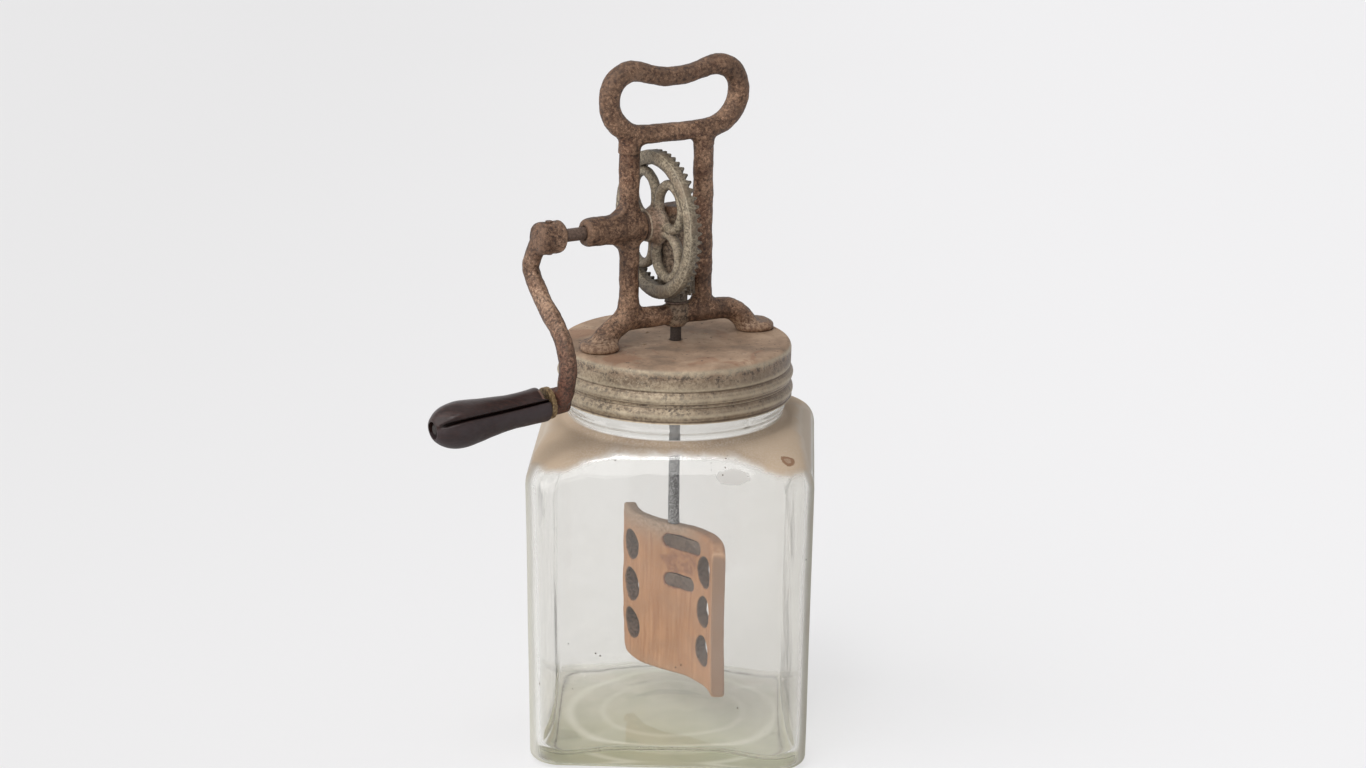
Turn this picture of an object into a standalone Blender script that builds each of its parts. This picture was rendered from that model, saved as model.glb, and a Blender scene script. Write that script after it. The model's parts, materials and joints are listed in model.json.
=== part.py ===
"""Hand-cranked butter churn: a square glass jar with a tin screw lid, a cast-iron frame
with a carrying loop, and a crank whose crown gear spins a wooden dasher four times a turn.

Metres, +Z up. The origin is the middle of the jar's underside, and the jar's sides are
square to X and Y. The lid and all that it carries are turned about Z by LID_TURN_DEGREES.
In that turned frame x runs along the crank axle, from the crank to the gear."""
import math

import bmesh
import bpy
from mathutils import Matrix, Vector

# Clearances and counts that many pieces share
GAP = 0.0003            # between pieces that touch on the real object
RUNNING_GAP = 0.0003    # around a shaft that turns in its bore, on the radius
OVERRUN = 0.002         # how far a cutter runs past what it cuts
WELD = 0.0004           # how far shapes reach into each other before they are united
SLIVER = 0.000005       # edges shorter than this are closed up after a Boolean
ROUND_SIDES = 20        # sides of small round pieces
LARGE_ROUND_SIDES = 40  # sides of the lid and its seal
BAR_SIDES = 10          # sides of a cast bar's section
HALF_SHARE = 0.5
ARC_MIDDLE_DEGREES = 45 # where a quarter arc drawn in two facets has its middle point
SMOOTH_DEGREES = 35     # edges sharper than this stay crisp when a piece is shaded
PIN_TWIST_DEGREES = 9   # turns a cross pin's facets off the edges of the hub it crosses

# Glass jar
JAR_HALF_WIDTH = 0.0697
JAR_TAPER = 0.0017          # each side leans in this much towards the base
JAR_CORNER_RADIUS = 0.0140
JAR_WALL = 0.0045
JAR_FLOOR = 0.0080
JAR_HEEL_RADIUS = 0.0050    # rounding between the walls and the underside
JAR_HEEL_INSET = 0.0060     # where the flat of the underside starts
SHOULDER_START = 0.1432
SHOULDER_RISE = 0.0195
SHOULDER_BLEND_SHARE = 0.85 # below one draws the shoulder in sooner than a round arc
NECK_RADIUS = 0.0536
NECK_WALL = 0.0041
NECK_ROOT_RISE = 0.0030     # concave sweep from the shoulder into the neck
NECK_LENGTH = 0.0336        # from the neck's root to the rim
RIM_ROUNDING = 0.0012
FLOOR_FILLET = 0.0070
THREAD_DEPTH = 0.0017
THREAD_PITCH = 0.0080
THREAD_WIDTH = 0.0034
THREAD_START = 0.0120       # above the neck's root
THREAD_RISE = 0.0120        # height that the thread climbs
THREAD_ROWS = 9
MOULD_RING_RADII = (0.0524, 0.0300)
MOULD_RING_HALF_WIDTH = 0.0018
MOULD_RING_DEPTH = 0.0010
JAR_FLAT_STEPS = 6          # facets on each flat side
JAR_CORNER_STEPS = 5        # facets on each rounded corner
JAR_SHOULDER_STEPS = 6
NECK_BEAD_RISE = 0.0036     # the moulded bead below the lid, above the neck's root
NECK_BEAD_DEPTH = 0.0009
NECK_BEAD_HALF_WIDTH = 0.0015

# Seal and screw lid
SEAL_THICKNESS = 0.0013
LID_SHEET = 0.0008
LID_THREAD_GAP = 0.0006     # between the glass thread and the lid's grooves
LID_BAND_STEP = 0.0006      # the plain band stands out this much from the grooves
LID_BEAD_STEP = 0.0017      # the two pressed beads stand out this much
LID_SKIRT = 0.0275          # height of the lid's wall
LID_EDGE_RADIUS = 0.0032    # rounding between the wall and the top
LID_BEAD_DROPS = (0.0157, 0.0236)    # below the lid's top
LID_GROOVE_DROPS = (0.0122, 0.0199)
LID_BEAD_HALF_WIDTH = 0.0019
LID_EDGE_DEGREES = 60       # how much of a quarter round the top edge has
LID_EDGE_STEPS = 2
LID_DISH_MARGIN = 0.0027    # flat tin between the dish and the rivets' heads
LID_DISH_SLOPE = 0.0050
LID_DISH_DEPTH = 0.0007
LID_SHAFT_GAP = 0.0007
VENT_RADIUS = 0.0012
VENT_RING_RADIUS = 0.0185
VENT_DEGREES = (6, 108, 184)         # in the lid's own turned frame
LID_TURN_DEGREES = 33

# Crown gear and pinion
GEAR_TEETH = 52
PINION_TEETH = 13
TOOTH_MODULE = 0.001273
TOOTH_LENGTH = 0.0066       # along the crown gear's radius
ADDENDUM_SHARE = 0.80       # of the module
DEDENDUM_SHARE = 1.20
CROWN_TIP_SHARE = 0.20      # tooth widths as shares of the tooth pitch
CROWN_ROOT_SHARE = 0.54
PINION_TIP_SHARE = 0.20
PINION_ROOT_SHARE = 0.56
RIM_THICKNESS = 0.0038
WEB_THICKNESS = 0.0030
WEB_SET_BACK = 0.0006       # the web lies this far inside the rim's two faces
RING_BAR = 0.0036           # width of each of the web's rings
WEB_RINGS = 4
WEB_RING_SIDES = 22
WEB_TURN_DEGREES = 51
GEAR_HUB_RADIUS = 0.0077
GEAR_HUB_REACH = 0.0046     # the hub stands this far out of the rim on the crank side
PINION_OVERHANG = 0.0009    # the pinion's lower end lies this far above the crown's edge
PINION_LENGTH = 0.0088
PINION_HUB_RADIUS = 0.0057
PINION_HUB_LENGTH = 0.0036
THRUST_WASHER = 0.0008
GEAR_WASHER = 0.0009
GEAR_PIN_RADIUS = 0.0012
PINION_PIN_RADIUS = 0.0007

# Dasher shaft
SHAFT_RADIUS = 0.00275
TANG_RADIUS = 0.0016
SHAFT_TOP_RISE = 0.0008     # between the shaft's top and the end of its bore

# Cast frame
CROSSBAR_RISE = 0.0128      # middle of the crossbar above the lid
CROSSBAR_HALF_HEIGHT = 0.0051
CROSSBAR_HALF_DEPTH = 0.0040
LOWER_BOSS_TOP_RADIUS = 0.0051
LOWER_BOSS_FOOT_RADIUS = 0.0042
LOWER_BOSS_LENGTH = 0.0120
UPRIGHT_HALF_WIDTH = 0.00475
UPRIGHT_HALF_DEPTH = 0.0046
UPRIGHT_PINION_GAP = 0.0008
UPPER_BOSS_RADIUS = 0.0075
UPPER_BOSS_DROP = 0.0255    # below the axle
UPPER_BOSS_RISE = 0.0085    # above the axle
UPPER_BOSS_GEAR_GAP = 0.0008
BOSS_END_WALL = 0.0022
BOSS_WEB_HALF_DEPTH = 0.0032
BOSS_WEB_DROP = 0.0190
BOSS_WEB_RISE = 0.0060
BORE_FLOOR = 0.0010         # metal between the shaft's bore and the axle's bore
BEARING_RADIUS = 0.0067
BEARING_INNER_REACH = 0.0070
BEARING_OUTER_REACH = 0.0250
BEARING_CHAMFER = 0.0009
GUSSET_HALF_DEPTH = 0.0036
GUSSET_OUTER_FILLET = 0.0100
GUSSET_INNER_FILLET = 0.0042
GUSSET_STEPS = 5            # facets of each fillet
WINDOW_TOP_GAP = 0.0044     # between the gear's edge and the loop's lower bar
LOOP_HALF_HEIGHT = 0.0043   # half the loop bar's section, in the frame's plane
LOOP_HALF_DEPTH = 0.0047
LOOP_HALF_WIDTH = 0.0364
LOOP_SHIFT = 0.0042         # the loop's middle, from the middle of the uprights
LOOP_LOWER_CORNER = 0.0184
LOOP_UPPER_CORNER = 0.0130
LOOP_DIP = 0.0040
LOOP_DIP_FLATNESS = 4       # a higher power makes the dip wider
LOOP_CORNER_STEPS = 6
LOOP_DIP_STEPS = 10
FOOT_HALF_LENGTH = 0.0096
FOOT_HALF_WIDTH = 0.0096
FOOT_OFFSET = 0.0020        # the feet stand this far in front of the frame's plane
FOOT_THICKNESS = 0.0038
FOOT_EDGE_GAP = 0.0002
FOOT_SIDES = 18
FOOT_RISE_SHARES = (0.0, 0.55, 0.85, 1.0)
FOOT_SIZE_SHARES = (1.0, 1.0, 0.93, 0.80)
LEG_HALF_DEPTH = 0.0054
LEG_HALF_HEIGHT = 0.0052
LEFT_LEG_RISE = 0.0092      # the left leg starts this far above the crossbar
LEG_STEPS = 14
LEFT_LEG_REACH_SHARES = (0.0, 0.03, 0.20, 0.50, 0.76, 0.92, 0.98)
LEFT_LEG_FALL_SHARES = (0.0, 0.21, 0.42, 0.58, 0.72, 0.86, 0.97)
RIGHT_LEG_REACH_SHARES = (-0.12, 0.16, 0.39, 0.577, 0.717, 0.81, 0.89)
RIGHT_LEG_FALL_SHARES = (0.02, 0.0, 0.03, 0.144, 0.37, 0.62, 0.90)
LEG_OFFSET_SHARES = (0.0, 0.0, 0.10, 0.30, 0.60, 0.87, 1.0)
RIVET_RADIUS = 0.0020
RIVET_HEAD_RADIUS = 0.0036
RIVET_HEAD = 0.0011
BURR_THICKNESS = 0.0006

# Crank
AXLE_RADIUS = 0.0032
AXLE_SHOWING = 0.0123       # bare axle between the crank's hub and the frame
AXLE_PROUD = 0.0003
CRANK_HUB_RADIUS = 0.0076
CRANK_HUB_LENGTH = 0.0137
CRANK_HUB_CHAMFER = 0.0016
CRANK_PIN_RADIUS = 0.0017
CRANK_PIN_PROUD = 0.0006
CRANK_RADIUS = 0.0779       # axle to handle spindle
CRANK_LEAN_DEGREES = 12.6   # the crank hangs this far out of the vertical
ARM_HALF_WIDTH = 0.0046
ARM_HALF_DEPTH = 0.0037
ARM_PROUD = 0.0014          # the arm stands out of the hub's end by this much
ARM_STEPS = 22
ARM_SIDE_SHARES = (0.00, 0.088, 0.115, -0.053, -0.275, -0.355, -0.296, -0.218)
ARM_FALL_SHARES = (0.00, 0.119, 0.232, 0.404, 0.562, 0.741, 0.922, 0.976)
ARM_EYE_RADIUS = 0.0060
ARM_EYE_HALF_LENGTH = 0.0040

# Grip
SPINDLE_RADIUS = 0.0024
SPINDLE_HEAD_RADIUS = 0.0040
SPINDLE_HEAD = 0.0014
SPINDLE_DROOP_DEGREES = 4.6
FERRULE_LENGTH = 0.0026
FERRULE_RADIUS_SHARE = 0.93
GRIP_LENGTH = 0.0595
GRIP_NECK_RADIUS = 0.0084
GRIP_SWELL = 0.0027         # how much fatter the grip is at its swell
GRIP_SIDES = 24
GRIP_RUN_SHARES = (0.0, 0.02, 0.15, 0.30, 0.43, 0.54, 0.64, 0.76, 0.86, 0.93, 0.98, 1.0)
GRIP_SWELL_SHARES = (-0.25, 0.06, 0.0, 0.0, 0.20, 0.45, 0.76, 1.0, 0.75, 0.15, -0.70, -1.25)
GRIP_COUNTERBORE_GAP = 0.0006

# Wooden dasher paddle
PADDLE_FLOOR_GAP = 0.0190
PADDLE_HEIGHT = 0.0795
PADDLE_THICKNESS = 0.0066
PADDLE_NECK_GAP = 0.0041    # lets the paddle lift out through the neck
PADDLE_SWEEP_DEGREES = 58   # each half curls through this angle
PADDLE_TURN_DEGREES = -28   # of the board's middle, from the jar's front
PADDLE_COLUMNS = 26
PADDLE_EDGE = 0.0009
PADDLE_ROUND_CORNER = 0.0080
PADDLE_TIGHT_CORNER = 0.0025
PADDLE_HOLE_RADIUS = 0.0078
PADDLE_HOLE_SPACING = 0.0207
PADDLE_HOLE_RUN_SHARE = 0.62    # of the board's half length
PADDLE_HOLE_ROWS = (-1, 0, 1)
KEY_HALF_HEIGHT = 0.0033
UPPER_KEY_DROP = 0.0092     # below the board's top edge
LOWER_KEY_DROP = 0.0296
UPPER_KEY_LEFT = -0.0040
KEY_HOLE_WALL = 0.00235     # wood between the upper key and the hole beside it
LOWER_KEY_ENDS = (-0.0035, 0.0165)
KEY_INSET = 0.0006          # below the board's faces
KEY_STEPS = 4
TANG_PAST_KEY = 0.0012

# Sizes that follow from the ones above
JAR_BASE_HALF_WIDTH = JAR_HALF_WIDTH - JAR_TAPER
NECK_INNER_RADIUS = NECK_RADIUS - NECK_WALL
NECK_ROOT = SHOULDER_START + SHOULDER_RISE + NECK_ROOT_RISE
JAR_HEIGHT = NECK_ROOT + NECK_LENGTH
SEAL_BOTTOM = JAR_HEIGHT + GAP
LID_UNDERSIDE = SEAL_BOTTOM + SEAL_THICKNESS + GAP
LID_TOP = LID_UNDERSIDE + LID_SHEET
LID_GROOVE_RADIUS = NECK_RADIUS + THREAD_DEPTH + LID_THREAD_GAP + LID_SHEET
LID_BAND_RADIUS = LID_GROOVE_RADIUS + LID_BAND_STEP
LID_BEAD_RADIUS = LID_GROOVE_RADIUS + LID_BEAD_STEP
LID_FLAT_RADIUS = LID_BAND_RADIUS - LID_EDGE_RADIUS
FRAME_BASE = LID_TOP + GAP
RIVET_TOP = FRAME_BASE + FOOT_THICKNESS * HALF_SHARE
FOOT_REACH = LID_FLAT_RADIUS - FOOT_HALF_LENGTH - FOOT_EDGE_GAP
LID_DISH_RADIUS = FOOT_REACH - RIVET_HEAD_RADIUS - LID_DISH_MARGIN - LID_DISH_SLOPE
CROSSBAR_HEIGHT = LID_TOP + CROSSBAR_RISE
LOWER_BOSS_TOP = CROSSBAR_HEIGHT + CROSSBAR_HALF_HEIGHT + WELD
WASHER_BOTTOM = LOWER_BOSS_TOP + GAP
PINION_BOTTOM = WASHER_BOTTOM + THRUST_WASHER + GAP
PINION_TEETH_BOTTOM = PINION_BOTTOM + PINION_HUB_LENGTH
CROWN_PITCH_RADIUS = GEAR_TEETH * TOOTH_MODULE * HALF_SHARE
PINION_PITCH_RADIUS = PINION_TEETH * TOOTH_MODULE * HALF_SHARE
GEAR_RADIUS = CROWN_PITCH_RADIUS + TOOTH_LENGTH * HALF_SHARE
RIM_INNER_RADIUS = CROWN_PITCH_RADIUS - TOOTH_LENGTH * HALF_SHARE
AXLE_HEIGHT = PINION_TEETH_BOTTOM - PINION_OVERHANG + GEAR_RADIUS
ADDENDUM = ADDENDUM_SHARE * TOOTH_MODULE
DEDENDUM = DEDENDUM_SHARE * TOOTH_MODULE
CROWN_TIP_X = -PINION_PITCH_RADIUS + ADDENDUM
CROWN_ROOT_X = -PINION_PITCH_RADIUS - DEDENDUM
CROWN_FACE_X = CROWN_ROOT_X - RIM_THICKNESS
GEAR_HUB_RIGHT = -UPPER_BOSS_RADIUS - UPPER_BOSS_GEAR_GAP
GEAR_HUB_LEFT = CROWN_FACE_X - GEAR_HUB_REACH
BEARING_RIGHT = GEAR_HUB_LEFT - GAP - GEAR_WASHER - GAP
LEFT_UPRIGHT_X = BEARING_RIGHT - BEARING_INNER_REACH
BEARING_LEFT = LEFT_UPRIGHT_X - BEARING_OUTER_REACH
RIGHT_UPRIGHT_X = PINION_PITCH_RADIUS + ADDENDUM + UPRIGHT_PINION_GAP + UPRIGHT_HALF_WIDTH
CRANK_HUB_RIGHT = BEARING_LEFT - AXLE_SHOWING
CRANK_HUB_LEFT = CRANK_HUB_RIGHT - CRANK_HUB_LENGTH
CRANK_PIN_X = CRANK_HUB_LEFT + CRANK_HUB_LENGTH * HALF_SHARE
ARM_X = CRANK_HUB_LEFT + ARM_HALF_DEPTH - ARM_PROUD
LOOP_BAR_HEIGHT = AXLE_HEIGHT + GEAR_RADIUS + WINDOW_TOP_GAP + LOOP_HALF_HEIGHT
LOOP_SIDE_HEIGHT = LOOP_BAR_HEIGHT + LOOP_LOWER_CORNER
LOOP_MIDDLE_X = (LEFT_UPRIGHT_X + RIGHT_UPRIGHT_X) * HALF_SHARE + LOOP_SHIFT
BOSS_BORE_END = UPPER_BOSS_RADIUS - BOSS_END_WALL
AXLE_BORE_RADIUS = AXLE_RADIUS + RUNNING_GAP
SHAFT_BORE_RADIUS = SHAFT_RADIUS + RUNNING_GAP
SHAFT_BORE_TOP = AXLE_HEIGHT - AXLE_BORE_RADIUS - BORE_FLOOR
PADDLE_BOTTOM = JAR_FLOOR + PADDLE_FLOOR_GAP
PADDLE_TOP = PADDLE_BOTTOM + PADDLE_HEIGHT
PADDLE_HALF_SWEEP = math.radians(PADDLE_SWEEP_DEGREES) * HALF_SHARE
PADDLE_CHORD = (NECK_INNER_RADIUS - PADDLE_NECK_GAP
                - PADDLE_THICKNESS * HALF_SHARE * math.sin(PADDLE_HALF_SWEEP))
PADDLE_CURL = PADDLE_CHORD * HALF_SHARE / math.sin(PADDLE_HALF_SWEEP)
PADDLE_HALF_LENGTH = PADDLE_CURL * math.radians(PADDLE_SWEEP_DEGREES)
PADDLE_MIDDLE = (PADDLE_BOTTOM + PADDLE_TOP) * HALF_SHARE
PADDLE_HOLE_X = PADDLE_HALF_LENGTH * PADDLE_HOLE_RUN_SHARE
KEY_HOLE_REACH = PADDLE_HOLE_RADIUS + KEY_HOLE_WALL + KEY_HALF_HEIGHT
KEY_HOLE_RISE = PADDLE_TOP - UPPER_KEY_DROP - PADDLE_MIDDLE - PADDLE_HOLE_SPACING
KEY_HOLE_RUN = math.sqrt(max(0.0, KEY_HOLE_REACH ** 2 - KEY_HOLE_RISE ** 2))
UPPER_KEY_ENDS = (UPPER_KEY_LEFT, PADDLE_HOLE_X - KEY_HOLE_RUN + KEY_HALF_HEIGHT)

# Turns a cross pin's facets about its own axis
PIN_TWIST = Matrix.Rotation(math.radians(PIN_TWIST_DEGREES), 4, "Z")
# Turns the Z axis of a lathed piece onto the axle, with its own X axis pointing down
ALONG_AXLE = Matrix.Rotation(math.radians(90), 4, "Y")
# The same, but pointing out of the crank's outer side
ALONG_GRIP = Matrix.Rotation(math.radians(-90), 4, "Y")
# Turns the Z axis of a rod across the frame
ACROSS_FRAME = Matrix.Rotation(math.radians(90), 4, "X")


# Building blocks

def turn(degrees):
    """Cosine and sine of an angle in degrees."""
    angle = math.radians(degrees)
    return math.cos(angle), math.sin(angle)


def arc(centre, radius, start_degrees, end_degrees, steps):
    """Points along a circular arc in a plane, both ends included."""
    points = []
    for step in range(steps + 1):
        cosine, sine = turn(start_degrees + (end_degrees - start_degrees) * step / steps)
        points.append((centre[0] + radius * cosine, centre[1] + radius * sine))
    return points


def smooth_path(points, steps):
    """Evenly numbered points on a smooth curve through the given points."""
    points = [Vector(point) for point in points]
    ends = [2 * points[0] - points[1]] + points + [2 * points[-1] - points[-2]]
    path = []
    for step in range(steps + 1):
        run = step / steps * (len(points) - 1)
        index = min(int(run), len(points) - 2)
        t = run - index
        a, b, c, d = ends[index:index + 4]
        path.append(HALF_SHARE * (2 * b + (c - a) * t + (2 * a - 5 * b + 4 * c - d) * t ** 2
                                  + (3 * b - a - 3 * c + d) * t ** 3))
    return path


def bridge(bm, ring, following):
    """Faces between two rings of vertices, of which one may be a single point."""
    count = max(len(ring), len(following))
    for index in range(count):
        corners = [ring[index % len(ring)], ring[(index + 1) % len(ring)],
                   following[(index + 1) % len(following)], following[index % len(following)]]
        bm.faces.new(list(dict.fromkeys(corners)))


def mesh_of_rings(rings, closed=False):
    """A closed mesh from rings of points. Open rows of rings get flat caps."""
    bm = bmesh.new()
    vertex_rings = [[bm.verts.new(point) for point in ring] for ring in rings]
    for ring, following in zip(vertex_rings, vertex_rings[1:]):
        bridge(bm, ring, following)
    if closed:
        bridge(bm, vertex_rings[-1], vertex_rings[0])
    else:
        for ring in (vertex_rings[0], vertex_rings[-1]):
            if len(ring) > 2:
                bm.faces.new(ring)
    return finished_mesh(bm)


def finished_mesh(bm):
    """The mesh of a bmesh, with its faces pointing out."""
    bmesh.ops.recalc_face_normals(bm, faces=bm.faces)
    mesh = bpy.data.meshes.new("piece")
    bm.to_mesh(mesh)
    bm.free()
    return mesh


def lathe(profile, sides=ROUND_SIDES, closed=True):
    """A solid turned about Z from (radius, height) points; a zero radius is the axis."""
    rings = []
    for radius, height in profile:
        if radius == 0:
            rings.append([(0, 0, height)])
        else:
            rings.append([(x, y, height) for x, y in arc((0, 0), radius, 0, 360, sides)[:-1]])
    return mesh_of_rings(rings, closed)


def rod(radius, low, high, sides=ROUND_SIDES):
    """A plain round rod along Z."""
    return lathe([(0, low), (radius, low), (radius, high), (0, high)], sides, closed=False)


def tube(inner, outer, low, high, sides=ROUND_SIDES):
    """A ring or washer about Z."""
    return lathe([(inner, low), (outer, low), (outer, high), (inner, high)], sides)


def sweep(path, half_width, half_depth, across, closed=False, sides=BAR_SIDES):
    """A bar of oval section along a flat path; across is the square to its plane."""
    across = Vector(across)
    rings = []
    count = len(path)
    for index, point in enumerate(path):
        before = path[index - 1] if closed or index else point
        after = path[(index + 1) % count] if closed or index < count - 1 else point
        side = across.cross(Vector(after) - Vector(before)).normalized()
        ring = []
        for corner in range(sides):
            cosine, sine = turn(360 * (corner + HALF_SHARE) / sides)
            ring.append(Vector(point) + side * half_width * cosine + across * half_depth * sine)
        rings.append(ring)
    return mesh_of_rings(rings, closed)


def prism(outline, low, high):
    """A flat outline in XY made solid between two heights."""
    rings = [[(x, y, height) for x, y in outline] for height in (low, high)]
    return mesh_of_rings(rings)


def slot_outline(left, right, half_height, steps):
    """A long hole with round ends, lying along X about the X axis."""
    bow = half_height
    return (arc((right - bow, 0), bow, -90, 90, 2 * steps)
            + arc((left + bow, 0), bow, 90, 270, 2 * steps))


def place(name, mesh, matrix=None):
    """An object in the scene that holds a mesh, moved by a matrix within its own frame."""
    if matrix is not None:
        mesh.transform(matrix)
    piece = bpy.data.objects.new(name, mesh)
    bpy.context.scene.collection.objects.link(piece)
    return piece


def combine(piece, mesh, operation, matrix=None):
    """Unites a shape with a piece, or cuts it out of the piece."""
    tool = place("tool", mesh, matrix)
    modifier = piece.modifiers.new("combine", "BOOLEAN")
    modifier.solver = "EXACT"
    modifier.operation = operation
    modifier.object = tool
    graph = bpy.context.evaluated_depsgraph_get()
    # Triangles without slivers keep the next Boolean exact; many-sided faces may not be flat
    bm = bmesh.new()
    bm.from_mesh(piece.evaluated_get(graph).data)
    bmesh.ops.remove_doubles(bm, verts=bm.verts, dist=SLIVER)
    bmesh.ops.dissolve_degenerate(bm, edges=bm.edges, dist=SLIVER)
    bmesh.ops.triangulate(bm, faces=bm.faces)
    bmesh.ops.dissolve_degenerate(bm, edges=bm.edges, dist=SLIVER)
    piece.data = finished_mesh(bm)
    piece.modifiers.clear()
    bpy.data.objects.remove(tool)


def add(piece, mesh, matrix=None):
    combine(piece, mesh, "UNION", matrix)


def cut(piece, mesh, matrix=None):
    combine(piece, mesh, "DIFFERENCE", matrix)


def material(name, colour, roughness, metallic=0.0, transmission=0.0):
    """A plain surface of one colour."""
    surface = bpy.data.materials.new(name)
    surface.use_nodes = True
    shader = surface.node_tree.nodes["Principled BSDF"]
    shader.inputs["Base Color"].default_value = (*colour, 1.0)
    shader.inputs["Roughness"].default_value = roughness
    shader.inputs["Metallic"].default_value = metallic
    shader.inputs["Transmission Weight"].default_value = transmission
    surface.diffuse_color = (*colour, 1.0)
    return surface


def finish(piece, surface, parent):
    """Gives a piece its surface, smooth shading and the thing that it hangs on."""
    piece.data.materials.clear()
    piece.data.materials.append(surface)
    piece.data.shade_smooth()
    piece.data.set_sharp_from_angle(angle=math.radians(SMOOTH_DEGREES))
    piece.parent = parent
    return piece


def axis_empty(name, parent=None, location=(0, 0, 0), rotation=(0, 0, 0)):
    """An empty on a joint's axis, which carries what turns about it."""
    empty = bpy.data.objects.new(name, None)
    bpy.context.scene.collection.objects.link(empty)
    empty.parent = parent
    empty.location = location
    empty.rotation_euler = rotation
    return empty


# Glass jar

def rounded_square_radius(angle, half_width, corner):
    """Distance from the middle to a rounded square's edge in one direction."""
    across, along = sorted((abs(math.cos(angle)), abs(math.sin(angle))))
    flat = half_width - corner
    if along * flat >= across * half_width:
        return half_width / along
    reach = flat * (along + across)
    return reach + math.sqrt(max(0.0, reach ** 2 - 2 * flat ** 2 + corner ** 2))


def jar_angles():
    """Directions of the jar's facets: a few on each flat side, more round each corner."""
    flat = JAR_HALF_WIDTH - JAR_CORNER_RADIUS
    edge = math.atan2(flat, JAR_HALF_WIDTH)
    angles = []
    for side in range(4):
        middle = math.radians(90 * side)
        for step in range(JAR_FLAT_STEPS):
            angles.append(middle - edge + 2 * edge * step / JAR_FLAT_STEPS)
        corner = math.radians(90) - 2 * edge
        for step in range(JAR_CORNER_STEPS):
            angles.append(middle + edge + corner * step / JAR_CORNER_STEPS)
    return angles


def jar_ring(half_width, corner, height):
    """One level of the jar: a rounded square, or a circle where the corner is as wide."""
    ring = []
    for angle in jar_angles():
        reach = rounded_square_radius(angle, half_width, corner)
        ring.append((reach * math.cos(angle), reach * math.sin(angle), height))
    return ring


def thread_ring(height):
    """One level of the neck, pushed out where the glass thread passes."""
    ring = []
    climb = height - NECK_ROOT - THREAD_START
    for angle in jar_angles():
        lead = THREAD_PITCH * (angle / math.radians(360))
        offset = (climb - lead) / THREAD_PITCH
        distance = abs(offset - round(offset)) * THREAD_PITCH
        inside = 0 <= climb <= THREAD_RISE
        swell = max(0.0, 1 - distance / (THREAD_WIDTH * HALF_SHARE)) if inside else 0.0
        reach = NECK_RADIUS + THREAD_DEPTH * math.sin(swell * math.radians(90))
        ring.append((reach * math.cos(angle), reach * math.sin(angle), height))
    return ring


def neck_rings(round_ring):
    """The outside of the neck, from its root to the rim, with its bead and its thread."""
    bead = NECK_ROOT + NECK_BEAD_RISE
    rings = [round_ring(NECK_RADIUS, NECK_ROOT),
             round_ring(NECK_RADIUS, bead - NECK_BEAD_HALF_WIDTH),
             round_ring(NECK_RADIUS + NECK_BEAD_DEPTH, bead),
             round_ring(NECK_RADIUS, bead + NECK_BEAD_HALF_WIDTH)]
    first = NECK_ROOT + THREAD_START
    for row in range(-1, THREAD_ROWS + 2):
        rings.append(thread_ring(first + THREAD_RISE * row / THREAD_ROWS))
    rings.append(round_ring(NECK_RADIUS, JAR_HEIGHT - RIM_ROUNDING))
    return rings


def shoulder_rings(inset):
    """The curve from the square walls to the round neck, inset by the wall on the inside."""
    neck = NECK_RADIUS if inset == 0 else NECK_INNER_RADIUS
    wall = JAR_HALF_WIDTH - inset
    corner = JAR_CORNER_RADIUS - inset * HALF_SHARE
    start = SHOULDER_START - inset * HALF_SHARE
    rings = []
    for step in range(JAR_SHOULDER_STEPS + 1):
        cosine, sine = turn(90 * step / JAR_SHOULDER_STEPS)
        drawn_in = (1 - cosine) ** SHOULDER_BLEND_SHARE
        half_width = wall - (wall - neck - NECK_ROOT_RISE) * drawn_in
        full = neck + NECK_ROOT_RISE
        blend = 1 - cosine
        rings.append(jar_ring(half_width, corner + (full - corner) * blend,
                              start + SHOULDER_RISE * sine))
    return rings


def glass_jar():
    def round_ring(radius, height):
        return jar_ring(radius, radius, height)

    def square_ring(inset, height):
        lean = JAR_TAPER * (1 - height / SHOULDER_START)
        return jar_ring(JAR_HALF_WIDTH - lean - inset, JAR_CORNER_RADIUS - inset * HALF_SHARE,
                        height)

    rings = [[(0, 0, 0)]]
    for radius in reversed(MOULD_RING_RADII):
        rings += [round_ring(radius - MOULD_RING_HALF_WIDTH, 0),
                  round_ring(radius, MOULD_RING_DEPTH),
                  round_ring(radius + MOULD_RING_HALF_WIDTH, 0)]
    cosine, sine = turn(ARC_MIDDLE_DEGREES)
    rings += [square_ring(JAR_HEEL_INSET, 0),
              square_ring(JAR_HEEL_INSET * (1 - cosine), JAR_HEEL_RADIUS * (1 - sine)),
              square_ring(0, JAR_HEEL_RADIUS)]
    rings += shoulder_rings(0) + neck_rings(round_ring)
    rings += [round_ring(NECK_RADIUS - RIM_ROUNDING, JAR_HEIGHT),
              round_ring(NECK_INNER_RADIUS + RIM_ROUNDING, JAR_HEIGHT),
              round_ring(NECK_INNER_RADIUS, JAR_HEIGHT - RIM_ROUNDING),
              round_ring(NECK_INNER_RADIUS, NECK_ROOT)]
    rings += list(reversed(shoulder_rings(JAR_WALL)))
    rings += [square_ring(JAR_WALL, JAR_FLOOR + FLOOR_FILLET),
              square_ring(JAR_WALL + FLOOR_FILLET * (1 - cosine),
                          JAR_FLOOR + FLOOR_FILLET * (1 - sine)),
              square_ring(JAR_WALL + FLOOR_FILLET, JAR_FLOOR), [(0, 0, JAR_FLOOR)]]
    return place("glass_jar", mesh_of_rings(rings))


# Seal and screw lid

def lid_seal():
    return place("lid_seal", tube(NECK_INNER_RADIUS + RIM_ROUNDING, NECK_RADIUS, SEAL_BOTTOM,
                                  SEAL_BOTTOM + SEAL_THICKNESS, LARGE_ROUND_SIDES))


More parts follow.
